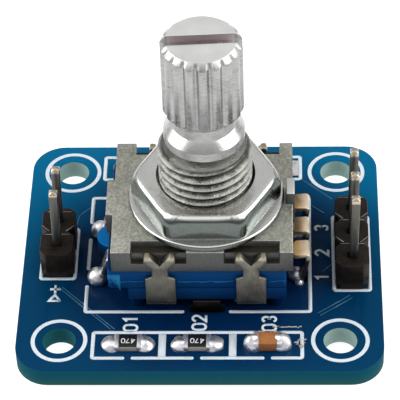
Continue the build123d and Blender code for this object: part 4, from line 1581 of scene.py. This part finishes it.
# %% Blobs
def blob(bm, centre, size, seed, uneven=0.10, floor=BOARD_TOP, detail=4):
    """A blob of solder: an icosphere of the given half sizes, flattened where it meets the floor."""
    made = bmesh.ops.create_icosphere(bm, subdivisions=detail, radius=1)["verts"]
    for vert in made:
        grow = 1 + uneven * noise.noise(vert.co * 1.3 + Vector((seed * 7.3, seed * 3.1, seed * 1.7)))
        vert.co = Vector(centre) + Vector(a * b * grow for a, b in zip(vert.co, size))
        vert.co.z = max(vert.co.z, floor)
    return made


# %% Solder at the chips
CHIP_BLOB_Y = 0.76
CHIP_BLOB_UNEVEN = 0.14
RESISTOR_BLOB = (0.78, 0.56, 0.24)      # reach along the board, height, distance from the chip's end
CAPACITOR_BLOB = (0.80, 0.98, 0.02)
PAD_LENGTH = (0.10, 1.40)               # a bare pad beyond the last capacitor, from its end
PAD_HALF = 0.85
PAD_TOP = 0.04


def make_chip_solder():
    bm = bmesh.new()
    for i, node in enumerate(CHIP_NODES):
        reach, tall, away = CAPACITOR_BLOB if "capacitor" in node else RESISTOR_BLOB
        for side, end in ((-1, low(node).x), (1, high(node).x)):
            place = (end + side * away, middle(node).y, BOARD_TOP + 0.02)
            blob(bm, place, (reach, CHIP_BLOB_Y, tall), 2 * i + (side + 1) / 2, CHIP_BLOB_UNEVEN)
    end, y = high("back_capacitor").x, middle("back_capacitor").y
    block(
        bm, (end + PAD_LENGTH[0], y - PAD_HALF, BOARD_TOP - 0.02),
        (end + PAD_LENGTH[1], y + PAD_HALF, BOARD_TOP + PAD_TOP),
    )
    bmesh.ops.recalc_face_normals(bm, faces=bm.faces)
    piece(bm, "chip_solder_blobs", SOLDER, nodes=["chip_solder"], sharp=60)


make_chip_solder()

# %% Solder at the terminals
STRIP_HALF_T = 0.15
STRIP_HALF_W = 0.6
SIGNAL_X = high("terminal_a").x - STRIP_HALF_T
SIGNAL_HOLES = [Vector((SIGNAL_X, middle(name).y, BOARD_TOP)) for name in SIGNAL_STRIPS]
SWITCH_X = low("switch_terminal_front").x + STRIP_HALF_T
SWITCH_YS = (middle("switch_terminal_front").y, high("switch_terminal_back").y - STRIP_HALF_W)
SWITCH_HOLES = [Vector((SWITCH_X, y, BOARD_TOP)) for y in SWITCH_YS]
SWITCH_BLOB = (-0.22, -0.2, 0.42), (0.76, 0.76, 0.76)
SIGNAL_BLOBS = (
    # hole, place from the hole, half sizes, seed and unevenness
    (0, (-0.45, 0.10, 0.34), (0.66, 0.56, 0.58), 30, 0.08),
    (1, (-0.45, 0.22, 0.22), (0.42, 0.40, 0.26), 31, 0.08),
    (2, (-0.45, 0.22, 0.22), (0.60, 0.50, 0.52), 32, 0.08),
    (0, (-0.22, -0.52, 0.08), (0.36, 0.36, 0.32), 40, 0.10),
    (2, (-0.50, -0.85, 0.50), (0.60, 0.42, 0.48), 41, 0.10),
)


def make_terminal_solder():
    bm = bmesh.new()
    for i, hole in enumerate(SWITCH_HOLES):
        offset, size = SWITCH_BLOB
        blob(bm, hole + Vector(offset), size, 20 + i, 0.03)
    for hole, offset, size, seed, uneven in SIGNAL_BLOBS:
        blob(bm, SIGNAL_HOLES[hole] + Vector(offset), size, seed, uneven)
    bmesh.ops.recalc_face_normals(bm, faces=bm.faces)
    piece(bm, "terminal_solder_balls", SOLDER, nodes=["terminal_solder"], sharp=60)


make_terminal_solder()

# %% [markdown]
# Hand soldering spits flux. Pale beads lie in a chain behind the capacitor's right pad and are
# scattered beside it, with one larger bead there. A particle system could scatter them, but a
# short loop with a seeded noise gives the same beads at every run and needs nothing baked.

# %% Flux
FLUX = moulding_finish("pale_flux", (0.24, 0.22, 0.20), (0.58, 0.56, 0.54), 0.2, 0.08)
FLUX_BEADS = 26
FLUX_CHAIN = 13
FLUX_UNEVEN = 0.3


def make_flux():
    bm = bmesh.new()
    start = Vector((high("front_capacitor").x, middle("front_capacitor").y, BOARD_TOP + INK_H))
    for i in range(FLUX_BEADS):
        along, across = wander(i * 3.17, 2.5), wander(i * 5.71, 8.1)
        chained = Vector((0.17 * i - 0.6, 1.8 + 0.25 * across, 0))
        scattered = Vector((1.55 + 0.9 * along, 0.35 + 1.3 * across, 0))
        size = (0.04 + 0.06 * abs(along)) * Vector((1.7, 1, 0.7))
        blob(bm, start + (chained if i < FLUX_CHAIN else scattered), size, 80 + i, FLUX_UNEVEN, detail=2)
    blob(bm, start + Vector((1.5, -0.15, 0)), (0.17, 0.16, 0.12), 120, FLUX_UNEVEN, detail=3)
    bmesh.ops.recalc_face_normals(bm, faces=bm.faces)
    piece(bm, "flux_beads", FLUX, sharp=60)


make_flux()

# %% [markdown]
# Underneath, wave soldering leaves a small volcano round every pin, hollow-sided where the
# solder climbed the metal. A cone would be straight-sided, so it is turned from a curved outline
# that stands on a flat round pad. The strap's two lugs sit in larger lumps.

# %% Underside
HEADER_PIN = 0.64
PAD_R = 0.92
PAD_T = 0.03
VOLCANO_H = 1.0
VOLCANO_TIP_R = 0.44
VOLCANO_STEPS = 6
CONE_POINTS = 32
LUG_Y = 5.6
LUG_LUMP = (1.75, 0.72, 0.95)


def volcano_rings(radius, tip):
    """Ring sizes from the pad's rim up the hollow side to the rounded tip."""
    rings = [(radius, 0.0), (radius, -PAD_T)]
    for i in range(VOLCANO_STEPS + 1):
        share = i / VOLCANO_STEPS
        rings.append((tip + (radius - 0.04 - tip) * (1 - share) ** 2.2, -0.04 - share * VOLCANO_H))
    rings.append((tip * 0.6, -VOLCANO_H - 0.16))
    return rings


def make_underside_solder():
    bm = bmesh.new()
    spots = []
    for body, count in HEADER_CELLS.items():
        pins = body.replace("body", "pins")
        first, pitch = low(pins).y + HEADER_PIN / 2, (2 * half(pins).y - HEADER_PIN) / (count - 1)
        spots += [(middle(pins).x, first + pitch * i) for i in range(count)]
    for spot in spots + SIGNAL_HOLES + SWITCH_HOLES:
        turned(bm, volcano_rings(PAD_R, VOLCANO_TIP_R), CONE_POINTS, spot)
    for i, y in enumerate((AXIS.y - LUG_Y, AXIS.y + LUG_Y)):
        for vert in blob(bm, (AXIS.x, y, 0.0), LUG_LUMP, 60 + i, 0.08, floor=-VOLCANO_H - PAD_R):
            vert.co.z = min(vert.co.z, 0.0)
    outward(bm)
    piece(bm, "underside_solder_cones", SOLDER, nodes=["underside_solder"], sharp=60)


make_underside_solder()

# %% [markdown]
# ## The pieces inside
#
# The rotor, code ring, springs, dome and plunger show only when the encoder is taken apart, so
# finer meshes would be wasted on them. They keep their CAD shapes, and only their material slots
# are filled, each with the finish of what it is made of.

# %% Finishes on the carried-over nodes
INSIDE = {
    "shaft_clip": SPRING, "detent_spring": SPRING, "switch_dome": SPRING,
    "rotor": ROTOR_PLASTIC, "switch_plunger": ROTOR_PLASTIC, "code_ring": BRASS,
}
for node, finish in INSIDE.items():
    slots = frame["nodes"][node].data.materials
    slots.clear()
    slots.append(finish.material)
print("carried over:", sorted(INSIDE))
